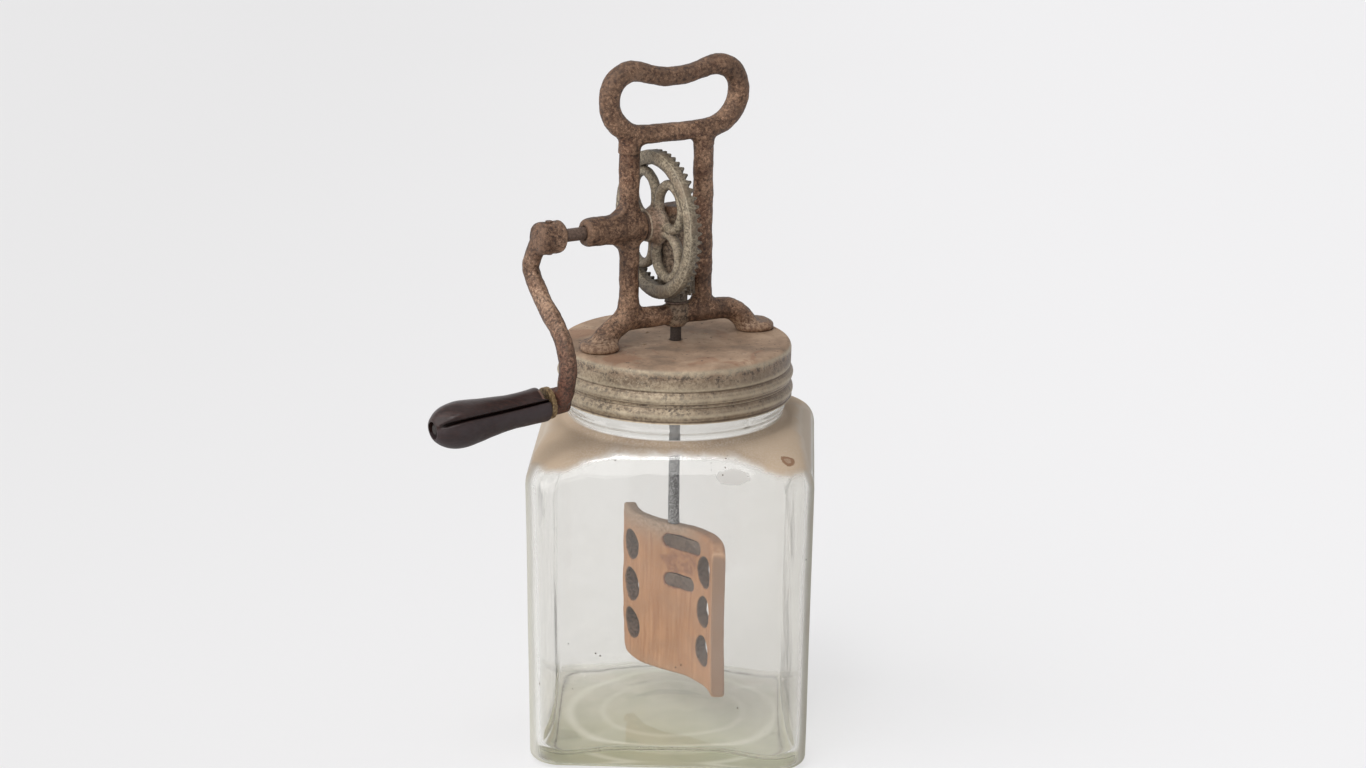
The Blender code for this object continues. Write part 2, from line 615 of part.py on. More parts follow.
def lid_wall_points():
    """The lid's outer wall from the top edge down: band, groove, bead, groove, bead, hem."""
    points = [(LID_FLAT_RADIUS, LID_TOP)]
    points += reversed(arc((LID_FLAT_RADIUS, LID_TOP - LID_EDGE_RADIUS), LID_EDGE_RADIUS,
                           0, LID_EDGE_DEGREES, LID_EDGE_STEPS))
    for groove, bead in zip(LID_GROOVE_DROPS, LID_BEAD_DROPS):
        middle = LID_BAND_RADIUS + (LID_BEAD_RADIUS - LID_BAND_RADIUS) * HALF_SHARE
        points += [(LID_BAND_RADIUS, LID_TOP - groove + LID_BEAD_HALF_WIDTH),
                   (LID_GROOVE_RADIUS, LID_TOP - groove),
                   (middle, LID_TOP - bead + LID_BEAD_HALF_WIDTH),
                   (LID_BEAD_RADIUS, LID_TOP - bead),
                   (middle, LID_TOP - bead - LID_BEAD_HALF_WIDTH)]
    points.append((LID_BAND_RADIUS, LID_TOP - LID_SKIRT))
    return points


def screw_lid():
    hole = SHAFT_RADIUS + LID_SHAFT_GAP
    dish = LID_TOP - LID_DISH_DEPTH
    outer = [(hole, dish), (LID_DISH_RADIUS, dish), (LID_DISH_RADIUS + LID_DISH_SLOPE, LID_TOP)]
    outer += lid_wall_points()
    inner = [(radius - LID_SHEET, height) for radius, height in reversed(outer[3:])]
    inner = [(radius, min(height, LID_UNDERSIDE)) for radius, height in inner]
    inner += [(LID_DISH_RADIUS + LID_DISH_SLOPE, LID_UNDERSIDE),
              (LID_DISH_RADIUS, dish - LID_SHEET), (hole, dish - LID_SHEET)]
    lid = place("screw_lid", lathe(outer + inner, LARGE_ROUND_SIDES))
    low = LID_UNDERSIDE - LID_DISH_DEPTH - OVERRUN
    high = LID_TOP + OVERRUN
    for degrees in VENT_DEGREES:
        cosine, sine = turn(degrees)
        spot = Matrix.Translation((VENT_RING_RADIUS * cosine, VENT_RING_RADIUS * sine, 0))
        cut(lid, rod(VENT_RADIUS, low, high, BAR_SIDES), spot)
    for side in (-1, 1):
        spot = Matrix.Translation((side * FOOT_REACH, -FOOT_OFFSET, 0))
        cut(lid, rod(RIVET_RADIUS + GAP, low, high, BAR_SIDES), spot)
    return lid


# Cast-iron frame, in the lid's turned frame: x along the axle, z up

def loop_path():
    """Middle line of the carrying loop: lower bar, round sides and a dipped top bar."""
    right = LOOP_MIDDLE_X + LOOP_HALF_WIDTH
    left = LOOP_MIDDLE_X - LOOP_HALF_WIDTH
    low, high = LOOP_LOWER_CORNER, LOOP_UPPER_CORNER
    points = arc((right - low, LOOP_SIDE_HEIGHT), low, -90, 0, LOOP_CORNER_STEPS)
    points += arc((right - high, LOOP_SIDE_HEIGHT), high, 0, 90, LOOP_CORNER_STEPS)[1:]
    top = LOOP_SIDE_HEIGHT + high
    span = right - left - 2 * high
    for step in range(1, LOOP_DIP_STEPS):
        share = step / LOOP_DIP_STEPS
        dip = LOOP_DIP * (1 - math.cos(math.radians(180) * share) ** LOOP_DIP_FLATNESS)
        points.append((right - high - span * share, top - dip))
    points += arc((left + high, LOOP_SIDE_HEIGHT), high, 90, 180, LOOP_CORNER_STEPS)
    points += arc((left + low, LOOP_SIDE_HEIGHT), low, 180, 270, LOOP_CORNER_STEPS)[1:]
    return [(x, 0, z) for x, z in points]


def leg_path(start_x, foot_x, top, reach_shares, fall_shares):
    """Middle line of a leg, from its start at the given height down to its foot."""
    fall = top - FRAME_BASE
    points = [(start_x + (foot_x - start_x) * reach, -FOOT_OFFSET * offset, top - fall * drop)
              for reach, offset, drop in zip(reach_shares, LEG_OFFSET_SHARES, fall_shares)]
    return smooth_path(points, LEG_STEPS)


def bearing_gusset():
    """The web that sweeps the crank bearing into the left upright, above and below."""
    left = LEFT_UPRIGHT_X - UPRIGHT_HALF_WIDTH * HALF_SHARE - GUSSET_OUTER_FILLET
    right = LEFT_UPRIGHT_X + UPRIGHT_HALF_WIDTH * HALF_SHARE + GUSSET_INNER_FILLET
    half = BEARING_RADIUS - WELD
    upper = arc((right, half + GUSSET_INNER_FILLET), GUSSET_INNER_FILLET, 270, 180,
                GUSSET_STEPS)
    upper += arc((left, half + GUSSET_OUTER_FILLET), GUSSET_OUTER_FILLET, 360, 270,
                 GUSSET_STEPS)
    outline = upper + [(x, -z) for x, z in reversed(upper)]
    rings = [[(x, depth, AXLE_HEIGHT + z) for x, z in outline]
             for depth in (-GUSSET_HALF_DEPTH, GUSSET_HALF_DEPTH)]
    return mesh_of_rings(rings)


def foot_pad(side):
    """An oval pad under one leg, with its upper edge rounded off."""
    rings = []
    for rise, size in zip(FOOT_RISE_SHARES, FOOT_SIZE_SHARES):
        ring = []
        for corner in range(FOOT_SIDES):
            cosine, sine = turn(360 * corner / FOOT_SIDES)
            ring.append((side * FOOT_REACH + FOOT_HALF_LENGTH * size * cosine,
                         FOOT_HALF_WIDTH * size * sine - FOOT_OFFSET,
                         FRAME_BASE + FOOT_THICKNESS * rise))
        rings.append(ring)
    return mesh_of_rings(rings)


def bearing_tube():
    chamfer = BEARING_CHAMFER
    return lathe([(0, BEARING_LEFT), (BEARING_RADIUS - chamfer, BEARING_LEFT),
                  (BEARING_RADIUS, BEARING_LEFT + chamfer), (BEARING_RADIUS, BEARING_RIGHT),
                  (0, BEARING_RIGHT)], closed=False)


def boss_web():
    """The rib that ties the upper boss to the right upright."""
    low = AXLE_HEIGHT - BOSS_WEB_DROP
    high = AXLE_HEIGHT + BOSS_WEB_RISE
    depth = BOSS_WEB_HALF_DEPTH
    outline = [(0, -depth), (RIGHT_UPRIGHT_X, -depth), (RIGHT_UPRIGHT_X, depth), (0, depth)]
    return prism(outline, low, high)


def cast_frame():
    across = (0, 1, 0)
    frame = place("cast_frame", sweep(loop_path(), LOOP_HALF_HEIGHT, LOOP_HALF_DEPTH, across,
                                      closed=True))
    for x in (LEFT_UPRIGHT_X, RIGHT_UPRIGHT_X):
        add(frame, sweep([(x, 0, LOOP_BAR_HEIGHT), (x, 0, CROSSBAR_HEIGHT)],
                         UPRIGHT_HALF_WIDTH, UPRIGHT_HALF_DEPTH, across))
    left_leg = leg_path(LEFT_UPRIGHT_X, -FOOT_REACH, CROSSBAR_HEIGHT + LEFT_LEG_RISE,
                        LEFT_LEG_REACH_SHARES, LEFT_LEG_FALL_SHARES)
    right_leg = leg_path(RIGHT_UPRIGHT_X, FOOT_REACH, CROSSBAR_HEIGHT,
                         RIGHT_LEG_REACH_SHARES, RIGHT_LEG_FALL_SHARES)
    for path in (left_leg, right_leg):
        add(frame, sweep(path, LEG_HALF_HEIGHT, LEG_HALF_DEPTH, across))
    # The legs end flush with the undersides of their pads
    cut(frame, rod(LID_BEAD_RADIUS, LID_UNDERSIDE - LID_SKIRT, FRAME_BASE))
    bar_path = [(LEFT_UPRIGHT_X, 0, CROSSBAR_HEIGHT), (RIGHT_UPRIGHT_X, 0, CROSSBAR_HEIGHT)]
    add(frame, sweep(bar_path, CROSSBAR_HALF_HEIGHT, CROSSBAR_HALF_DEPTH, across))
    for side in (-1, 1):
        add(frame, foot_pad(side))
    add(frame, bearing_tube(), Matrix.Translation((0, 0, AXLE_HEIGHT)) @ ALONG_AXLE)
    add(frame, bearing_gusset())
    add(frame, rod(UPPER_BOSS_RADIUS, AXLE_HEIGHT - UPPER_BOSS_DROP,
                   AXLE_HEIGHT + UPPER_BOSS_RISE))
    add(frame, boss_web())
    boss_foot = LOWER_BOSS_TOP - LOWER_BOSS_LENGTH
    add(frame, lathe([(0, boss_foot), (LOWER_BOSS_FOOT_RADIUS, boss_foot),
                      (LOWER_BOSS_TOP_RADIUS, LOWER_BOSS_TOP - LOWER_BOSS_LENGTH * HALF_SHARE),
                      (LOWER_BOSS_TOP_RADIUS, LOWER_BOSS_TOP), (0, LOWER_BOSS_TOP)],
                     closed=False))
    cut(frame, rod(SHAFT_BORE_RADIUS, boss_foot - OVERRUN, SHAFT_BORE_TOP))
    cut(frame, rod(AXLE_BORE_RADIUS, BEARING_LEFT - OVERRUN, BOSS_BORE_END),
        Matrix.Translation((0, 0, AXLE_HEIGHT)) @ ALONG_AXLE)
    for side in (-1, 1):
        cut(frame, rod(RIVET_RADIUS + GAP, FRAME_BASE - OVERRUN, RIVET_TOP + GAP, BAR_SIDES),
            Matrix.Translation((side * FOOT_REACH, -FOOT_OFFSET, 0)))
    return frame


def foot_rivet(name, side):
    """A drive rivet up through the lid into one foot's blind hole, its head under the lid."""
    head_top = LID_UNDERSIDE - GAP - BURR_THICKNESS - GAP
    profile = [(0, head_top - RIVET_HEAD), (RIVET_HEAD_RADIUS * HALF_SHARE, head_top - RIVET_HEAD),
               (RIVET_HEAD_RADIUS, head_top - RIVET_HEAD * HALF_SHARE),
               (RIVET_HEAD_RADIUS, head_top), (RIVET_RADIUS, head_top),
               (RIVET_RADIUS, RIVET_TOP), (0, RIVET_TOP)]
    return place(name, lathe(profile, BAR_SIDES, closed=False),
                 Matrix.Translation((side * FOOT_REACH, -FOOT_OFFSET, 0)))


def rivet_burr(name, side):
    """The small washer between a rivet's head and the lid."""
    top = LID_UNDERSIDE - GAP
    mesh = tube(RIVET_RADIUS + GAP, RIVET_HEAD_RADIUS, top - BURR_THICKNESS, top, BAR_SIDES)
    return place(name, mesh, Matrix.Translation((side * FOOT_REACH, -FOOT_OFFSET, 0)))


# Crank and crown gear, about the axle: x along it, z up from it

def crank_axle():
    axle = place("crank_axle", rod(AXLE_RADIUS, CRANK_HUB_LEFT - AXLE_PROUD, BOSS_BORE_END - GAP),
                 ALONG_AXLE)
    reach = AXLE_RADIUS + OVERRUN
    cut(axle, rod(CRANK_PIN_RADIUS + GAP, -reach, reach, BAR_SIDES), crank_pin_matrix())
    cut(axle, rod(GEAR_PIN_RADIUS + GAP, -reach, reach, BAR_SIDES), gear_pin_matrix())
    return axle


def arm_path():
    """Middle line of the S-shaped crank arm, in the plane that it turns in."""
    points = [(ARM_X, CRANK_RADIUS * side, -CRANK_RADIUS * fall)
              for side, fall in zip(ARM_SIDE_SHARES, ARM_FALL_SHARES)]
    return smooth_path(points, ARM_STEPS)


def spindle_spot():
    """Where the handle's spindle crosses the crank arm."""
    cosine, sine = turn(CRANK_LEAN_DEGREES)
    return Vector((ARM_X, -CRANK_RADIUS * sine, -CRANK_RADIUS * cosine))


def spindle_frame():
    """The spindle's own frame: Z points out of the crank, drooping a little."""
    droop = Matrix.Rotation(math.radians(-SPINDLE_DROOP_DEGREES), 4, "Y")
    return Matrix.Translation(spindle_spot()) @ droop @ ALONG_GRIP


def crank_arm():
    chamfer = CRANK_HUB_CHAMFER
    hub = lathe([(0, CRANK_HUB_LEFT), (CRANK_HUB_RADIUS - chamfer, CRANK_HUB_LEFT),
                 (CRANK_HUB_RADIUS, CRANK_HUB_LEFT + chamfer),
                 (CRANK_HUB_RADIUS, CRANK_HUB_RIGHT - chamfer),
                 (CRANK_HUB_RADIUS - chamfer, CRANK_HUB_RIGHT), (0, CRANK_HUB_RIGHT)],
                closed=False)
    arm = place("crank_arm", hub, ALONG_AXLE)
    add(arm, sweep(arm_path(), ARM_HALF_WIDTH, ARM_HALF_DEPTH, (1, 0, 0)))
    add(arm, rod(ARM_EYE_RADIUS, -ARM_EYE_HALF_LENGTH, ARM_EYE_HALF_LENGTH), spindle_frame())
    cut(arm, rod(AXLE_RADIUS + GAP, CRANK_HUB_LEFT - OVERRUN, CRANK_HUB_RIGHT + OVERRUN),
        ALONG_AXLE)
    cut(arm, rod(CRANK_PIN_RADIUS + GAP, -CRANK_HUB_RADIUS - OVERRUN, CRANK_HUB_RADIUS + OVERRUN,
                 BAR_SIDES), crank_pin_matrix())
    cut(arm, rod(SPINDLE_RADIUS + GAP, -ARM_EYE_HALF_LENGTH - OVERRUN,
                 ARM_EYE_HALF_LENGTH + OVERRUN), spindle_frame())
    return arm


def crank_pin_matrix():
    """Places the pin upright through the middle of the crank's hub."""
    return Matrix.Translation((CRANK_PIN_X, 0, 0)) @ PIN_TWIST


def crank_pin():
    reach = CRANK_HUB_RADIUS + CRANK_PIN_PROUD
    return place("crank_pin", rod(CRANK_PIN_RADIUS, -reach, reach, BAR_SIDES),
                 crank_pin_matrix())


def crown_ring():
    """The gear's rim with its radial teeth on the far face; its first gap points along X."""
    pitch = 360 / GEAR_TEETH
    root = pitch * CROWN_ROOT_SHARE * HALF_SHARE
    tip = pitch * CROWN_TIP_SHARE * HALF_SHARE
    rings = []
    for tooth in range(GEAR_TEETH):
        middle = (tooth + HALF_SHARE) * pitch
        for offset, height in ((-root, CROWN_ROOT_X), (-tip, CROWN_TIP_X),
                               (tip, CROWN_TIP_X), (root, CROWN_ROOT_X)):
            cosine, sine = turn(middle + offset)
            section = ((RIM_INNER_RADIUS, CROWN_FACE_X), (GEAR_RADIUS, CROWN_FACE_X),
                       (GEAR_RADIUS, height), (RIM_INNER_RADIUS, height))
            rings.append([(radius * cosine, radius * sine, z) for radius, z in section])
    return mesh_of_rings(rings, closed=True)


def drive_gear():
    """Crown gear: a toothed rim, four open rings for a web, and a hub."""
    gear = place("drive_gear", crown_ring())
    diagonal = math.sin(math.radians(180) / WEB_RINGS)
    middle = RIM_INNER_RADIUS / (1 + diagonal)
    outer = middle * diagonal + WELD
    web_low = CROWN_FACE_X + WEB_SET_BACK
    web_high = web_low + WEB_THICKNESS
    hub = rod(GEAR_HUB_RADIUS, GEAR_HUB_LEFT, GEAR_HUB_RIGHT)
    for index in range(WEB_RINGS):
        cosine, sine = turn(WEB_TURN_DEGREES + 360 * index / WEB_RINGS)
        spot = Matrix.Translation((middle * cosine, middle * sine, 0))
        add(gear, tube(outer - RING_BAR, outer, web_low, web_high, WEB_RING_SIDES), spot)
    add(gear, hub)
    cut(gear, rod(AXLE_RADIUS + GAP, GEAR_HUB_LEFT - OVERRUN, GEAR_HUB_RIGHT + OVERRUN))
    gear.data.transform(ALONG_AXLE)
    cut(gear, rod(GEAR_PIN_RADIUS + GAP, -GEAR_HUB_RADIUS - OVERRUN, GEAR_HUB_RADIUS + OVERRUN,
                  BAR_SIDES), gear_pin_matrix())
    return gear


def gear_pin_matrix():
    """Places the pin across the gear's hub, between two of the web's rings."""
    between = math.radians(WEB_TURN_DEGREES + 180 / WEB_RINGS)
    x = (CROWN_FACE_X + GEAR_HUB_RIGHT) * HALF_SHARE
    return Matrix.Translation((x, 0, 0)) @ Matrix.Rotation(-between, 4, "X") @ PIN_TWIST


def gear_pin():
    return place("gear_pin", rod(GEAR_PIN_RADIUS, -GEAR_HUB_RADIUS, GEAR_HUB_RADIUS, BAR_SIDES),
                 gear_pin_matrix())


def gear_washer():
    mesh = tube(AXLE_RADIUS + GAP, BEARING_RADIUS, BEARING_RIGHT + GAP,
                BEARING_RIGHT + GAP + GEAR_WASHER)
    return place("gear_washer", mesh, ALONG_AXLE)


# Handle: everything lies along the spindle, Z out of the crank

FERRULE_START = ARM_EYE_HALF_LENGTH + GAP
GRIP_START = FERRULE_START + FERRULE_LENGTH + GAP
GRIP_END = GRIP_START + GRIP_LENGTH
SPINDLE_SEAT = GRIP_END - SPINDLE_HEAD - GRIP_COUNTERBORE_GAP


def handle_spindle():
    """The pin that the grip turns on, headed at both ends."""
    start = -ARM_EYE_HALF_LENGTH + GAP
    end = SPINDLE_SEAT + SPINDLE_HEAD
    profile = [(0, start), (SPINDLE_RADIUS, start), (SPINDLE_RADIUS, SPINDLE_SEAT),
               (SPINDLE_HEAD_RADIUS, SPINDLE_SEAT), (SPINDLE_HEAD_RADIUS * HALF_SHARE, end),
               (0, end)]
    return place("handle_spindle", lathe(profile, closed=False), spindle_frame())


def grip_ferrule():
    outer = GRIP_NECK_RADIUS * FERRULE_RADIUS_SHARE
    mesh = tube(SPINDLE_RADIUS + RUNNING_GAP, outer, 0, FERRULE_LENGTH)
    return place("grip_ferrule", mesh, Matrix.Translation((0, 0, FERRULE_START)))


def wooden_grip():
    """A turned grip that swells towards its outer end, bored for the spindle and its head."""
    bore = SPINDLE_RADIUS + RUNNING_GAP
    head = SPINDLE_HEAD_RADIUS + RUNNING_GAP
    outer = [(GRIP_NECK_RADIUS + GRIP_SWELL * swell, GRIP_START + GRIP_LENGTH * run)
             for run, swell in zip(GRIP_RUN_SHARES, GRIP_SWELL_SHARES)]
    seat = SPINDLE_SEAT - GAP
    inner = [(head, GRIP_END), (head, seat), (bore, seat), (bore, GRIP_START)]
    return place("wooden_grip", lathe(outer + inner, GRIP_SIDES))


# Dasher, about the jar's axis

def dasher_shaft(tang_end):
    """The upright shaft, with a thinner tang that runs down into the paddle."""
    step = PADDLE_TOP + GAP
    top = SHAFT_BORE_TOP - SHAFT_TOP_RISE
    profile = [(0, tang_end), (TANG_RADIUS, tang_end), (TANG_RADIUS, step),
               (SHAFT_RADIUS, step), (SHAFT_RADIUS, top), (0, top)]
    shaft = place("dasher_shaft", lathe(profile, closed=False))
    cut(shaft, rod(PINION_PIN_RADIUS + GAP, -SHAFT_RADIUS - OVERRUN, SHAFT_RADIUS + OVERRUN,
                   BAR_SIDES), pinion_pin_matrix())
    return shaft


def pinion():
    """A small spur pinion with a hub below; one tooth points along its own X."""
    pitch = 360 / PINION_TEETH
    root_radius = PINION_PITCH_RADIUS - DEDENDUM
    tip_radius = PINION_PITCH_RADIUS + ADDENDUM
    root = pitch * PINION_ROOT_SHARE * HALF_SHARE
    tip = pitch * PINION_TIP_SHARE * HALF_SHARE
    outline = []
    for tooth in range(PINION_TEETH):
        for offset, radius in ((-root, root_radius), (-tip, tip_radius), (tip, tip_radius),
                               (root, root_radius)):
            cosine, sine = turn(tooth * pitch + offset)
            outline.append((radius * cosine, radius * sine))
    high = PINION_TEETH_BOTTOM + PINION_LENGTH
    piece = place("pinion", prism(outline, PINION_TEETH_BOTTOM, high))
    add(piece, rod(PINION_HUB_RADIUS, PINION_BOTTOM, PINION_TEETH_BOTTOM + WELD))
    cut(piece, rod(SHAFT_RADIUS + GAP, PINION_BOTTOM - OVERRUN, high + OVERRUN))
    cut(piece, rod(PINION_PIN_RADIUS + GAP, -PINION_HUB_RADIUS - OVERRUN,
                   PINION_HUB_RADIUS + OVERRUN, BAR_SIDES), pinion_pin_matrix())
    return piece


def pinion_pin_matrix():
    height = (PINION_BOTTOM + PINION_TEETH_BOTTOM) * HALF_SHARE
    return Matrix.Translation((0, 0, height)) @ ACROSS_FRAME @ PIN_TWIST


def pinion_pin():
    return place("pinion_pin", rod(PINION_PIN_RADIUS, -PINION_HUB_RADIUS, PINION_HUB_RADIUS,
                                   BAR_SIDES), pinion_pin_matrix())


def thrust_washer():
    return place("thrust_washer", tube(SHAFT_RADIUS + GAP, PINION_HUB_RADIUS, WASHER_BOTTOM,
                                       WASHER_BOTTOM + THRUST_WASHER))


def curl(mesh):
    """Bends a flat board, made along X, into the paddle's S."""
    for vertex in mesh.vertices:
        side = -1 if vertex.co.x < 0 else 1
        angle = abs(vertex.co.x) / PADDLE_CURL
        depth = vertex.co.y
        vertex.co.x = side * PADDLE_CURL * math.sin(angle) + depth * math.sin(angle)
        vertex.co.y = -side * PADDLE_CURL * (1 - math.cos(angle)) + depth * math.cos(angle)


def corner_drop(distance, corner):
    """How far a rounded corner's edge falls away near the board's end."""
    inside = max(0.0, corner - distance)
    return corner - math.sqrt(max(0.0, corner ** 2 - inside ** 2))


def flat_board():
    """The paddle before it is curled: a chamfered board, two of its corners well rounded."""
    half = PADDLE_THICKNESS * HALF_SHARE
    edge = PADDLE_EDGE
    rings = []
    for column in range(PADDLE_COLUMNS + 1):
        # Columns crowd together near both ends, where the corners are round
        run = -math.cos(math.radians(180) * column / PADDLE_COLUMNS)
        x = PADDLE_HALF_LENGTH * run
        left, right = x + PADDLE_HALF_LENGTH, PADDLE_HALF_LENGTH - x
        low = PADDLE_BOTTOM + max(corner_drop(left, PADDLE_ROUND_CORNER),
                                  corner_drop(right, PADDLE_TIGHT_CORNER))
        high = PADDLE_TOP - max(corner_drop(left, PADDLE_TIGHT_CORNER),
                                corner_drop(right, PADDLE_ROUND_CORNER))
        rings.append([(x, -half, low + edge), (x, -half + edge, low), (x, half - edge, low),
                      (x, half, low + edge), (x, half, high - edge), (x, half - edge, high),
                      (x, -half + edge, high), (x, -half, high - edge)])
    return mesh_of_rings(rings)


def key_prism(ends, drop, clearance, depth):
    """A round-ended block through the board at a given depth below its top edge."""
    outline = slot_outline(ends[0] - clearance, ends[1] + clearance,
                           KEY_HALF_HEIGHT + clearance, KEY_STEPS)
    mesh = prism(outline, -depth, depth)
    mesh.transform(Matrix.Translation((0, 0, PADDLE_TOP - drop)) @ ACROSS_FRAME)
    return mesh


def paddle(tang_end):
    board = place("paddle", flat_board())
    reach = PADDLE_THICKNESS + OVERRUN
    for side in (-1, 1):
        for row in PADDLE_HOLE_ROWS:
            spot = Matrix.Translation((side * PADDLE_HOLE_X, 0,
                                       PADDLE_MIDDLE + row * PADDLE_HOLE_SPACING))
            cut(board, rod(PADDLE_HOLE_RADIUS, -reach, reach), spot @ ACROSS_FRAME)
    cut(board, key_prism(UPPER_KEY_ENDS, UPPER_KEY_DROP, GAP, reach))
    cut(board, key_prism(LOWER_KEY_ENDS, LOWER_KEY_DROP, GAP, reach))
    cut(board, rod(TANG_RADIUS + GAP, tang_end - GAP, PADDLE_TOP + OVERRUN))
    curl(board.data)
    return board


def paddle_key(name, ends, drop):
    """An iron key let into the board, with a hole for the shaft's tang."""
    depth = PADDLE_THICKNESS * HALF_SHARE - KEY_INSET
    key = place(name, key_prism(ends, drop, 0, depth))
    middle = PADDLE_TOP - drop
    reach = KEY_HALF_HEIGHT + OVERRUN
    cut(key, rod(TANG_RADIUS + GAP, middle - reach, middle + reach))
    curl(key.data)
    return key


# The whole churn

def build():
    for thing in list(bpy.data.objects):
        bpy.data.objects.remove(thing)

    glass = material("clear_glass", (0.80, 0.86, 0.82), 0.05, transmission=0.95)
    rubber = material("seal_rubber", (0.16, 0.13, 0.11), 0.8)
    tin = material("aged_tin", (0.36, 0.30, 0.23), 0.55, 0.6)
    iron = material("rusty_cast_iron", (0.22, 0.14, 0.10), 0.6, 0.3)
    steel = material("dark_steel", (0.13, 0.11, 0.10), 0.45, 0.7)
    gear_iron = material("dusty_gear_iron", (0.30, 0.27, 0.20), 0.55, 0.5)
    brass = material("dull_brass", (0.45, 0.36, 0.17), 0.5, 0.8)
    dark_wood = material("dark_grip_wood", (0.05, 0.025, 0.02), 0.35)
    pale_wood = material("pale_paddle_wood", (0.55, 0.33, 0.20), 0.6)

    lid_axis = axis_empty("lid_axis", rotation=(0, 0, math.radians(LID_TURN_DEGREES)))
    crank_axis = axis_empty("crank_axis", lid_axis, (0, 0, AXLE_HEIGHT))
    grip_axis = axis_empty("grip_axis", crank_axis)
    grip_axis.matrix_local = spindle_frame()
    dasher_axis = axis_empty("dasher_axis", lid_axis)
    dasher_turn = PADDLE_TURN_DEGREES - LID_TURN_DEGREES
    dasher_axis.rotation_euler.z = math.radians(dasher_turn)
    pinion_axis = axis_empty("pinion_axis", dasher_axis)
    # One pinion tooth points straight at the crown gear, into its lowest gap
    pinion_axis.rotation_euler.z = math.radians(180 - dasher_turn)

    finish(glass_jar(), glass, None)
    finish(lid_seal(), rubber, lid_axis)
    finish(screw_lid(), tin, lid_axis)
    finish(cast_frame(), iron, lid_axis)
    for side, word in ((-1, "left"), (1, "right")):
        finish(foot_rivet("foot_rivet_" + word, side), steel, lid_axis)
        finish(rivet_burr("rivet_burr_" + word, side), steel, lid_axis)

    finish(crank_axle(), steel, crank_axis)
    finish(crank_arm(), iron, crank_axis)
    finish(crank_pin(), steel, crank_axis)
    finish(drive_gear(), gear_iron, crank_axis)
    finish(gear_pin(), steel, crank_axis)
    finish(gear_washer(), steel, crank_axis)
    finish(handle_spindle(), steel, crank_axis)
    finish(grip_ferrule(), brass, grip_axis)
    finish(wooden_grip(), dark_wood, grip_axis)

    tang_end = PADDLE_TOP - LOWER_KEY_DROP - KEY_HALF_HEIGHT - TANG_PAST_KEY
    finish(dasher_shaft(tang_end), steel, pinion_axis)
    finish(pinion(), gear_iron, pinion_axis)
    finish(pinion_pin(), steel, pinion_axis)
    finish(thrust_washer(), steel, dasher_axis)
    finish(paddle(tang_end), pale_wood, dasher_axis)
    finish(paddle_key("paddle_key_upper", UPPER_KEY_ENDS, UPPER_KEY_DROP), steel, dasher_axis)
    finish(paddle_key("paddle_key_lower", LOWER_KEY_ENDS, LOWER_KEY_DROP), steel, dasher_axis)


build()
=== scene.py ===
"""Looks of the hand-cranked butter churn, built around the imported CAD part.

Metres throughout, in the row frame: +Z up, the origin under the middle of the jar."""
import json
import math

import bmesh
import bpy
import numpy as np
from mathutils import Matrix, Vector
from mathutils import noise as field


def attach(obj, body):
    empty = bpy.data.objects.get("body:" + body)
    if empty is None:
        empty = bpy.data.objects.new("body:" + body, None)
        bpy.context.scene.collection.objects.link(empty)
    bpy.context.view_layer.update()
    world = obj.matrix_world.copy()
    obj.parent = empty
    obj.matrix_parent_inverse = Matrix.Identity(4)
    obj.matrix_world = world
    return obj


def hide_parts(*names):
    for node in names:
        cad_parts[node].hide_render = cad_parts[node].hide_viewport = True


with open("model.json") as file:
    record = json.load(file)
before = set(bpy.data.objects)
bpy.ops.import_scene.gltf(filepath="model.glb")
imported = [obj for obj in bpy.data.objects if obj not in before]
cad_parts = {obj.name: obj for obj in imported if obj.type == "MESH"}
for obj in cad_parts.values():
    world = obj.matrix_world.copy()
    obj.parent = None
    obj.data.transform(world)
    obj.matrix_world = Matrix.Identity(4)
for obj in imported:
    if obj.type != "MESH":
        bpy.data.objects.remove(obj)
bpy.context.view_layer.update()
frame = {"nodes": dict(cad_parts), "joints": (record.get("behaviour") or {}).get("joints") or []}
joints = {joint["name"]: joint for joint in frame["joints"]}

# The photograph's camera
PHOTO_WIDTH_PX = 1366
FOCAL_PX = 3068.08
SENSOR_MM = 36
CAMERA_PITCH = 0.27847
CAMERA_ROLL = 0.01
CAMERA_YAW = 0.03744
CAMERA_PLACE = (0.00389514, -1.46358344, 0.59682732)

# Light and floor
WORLD_LIGHT = 0.40
WORLD_SHOWN = (0.86, 0.86, 0.87)
SUN_STRENGTH = 2.5
SUN_AZIMUTH = math.radians(50)
SUN_HEIGHT = math.radians(36)
SUN_SPREAD = math.radians(80)
LAMP_PLACE = (-0.18, -0.50, 1.45)
LAMP_AIM = (0, 0, 0.18)
LAMP_SIZE = 0.34
LAMP_POWER = 3
FLOOR_REACH = 9.0
FLOOR_LEVEL = -0.0002
FLOOR_LEFT = (0.855, 0.850, 0.855)
FLOOR_RIGHT = (0.925, 0.920, 0.930)
FLOOR_GLOW = 0.98
FLOOR_GLOW_SHARE = 0.68
EYE_RAYS = ("Camera", "Glossy", "Transmission")

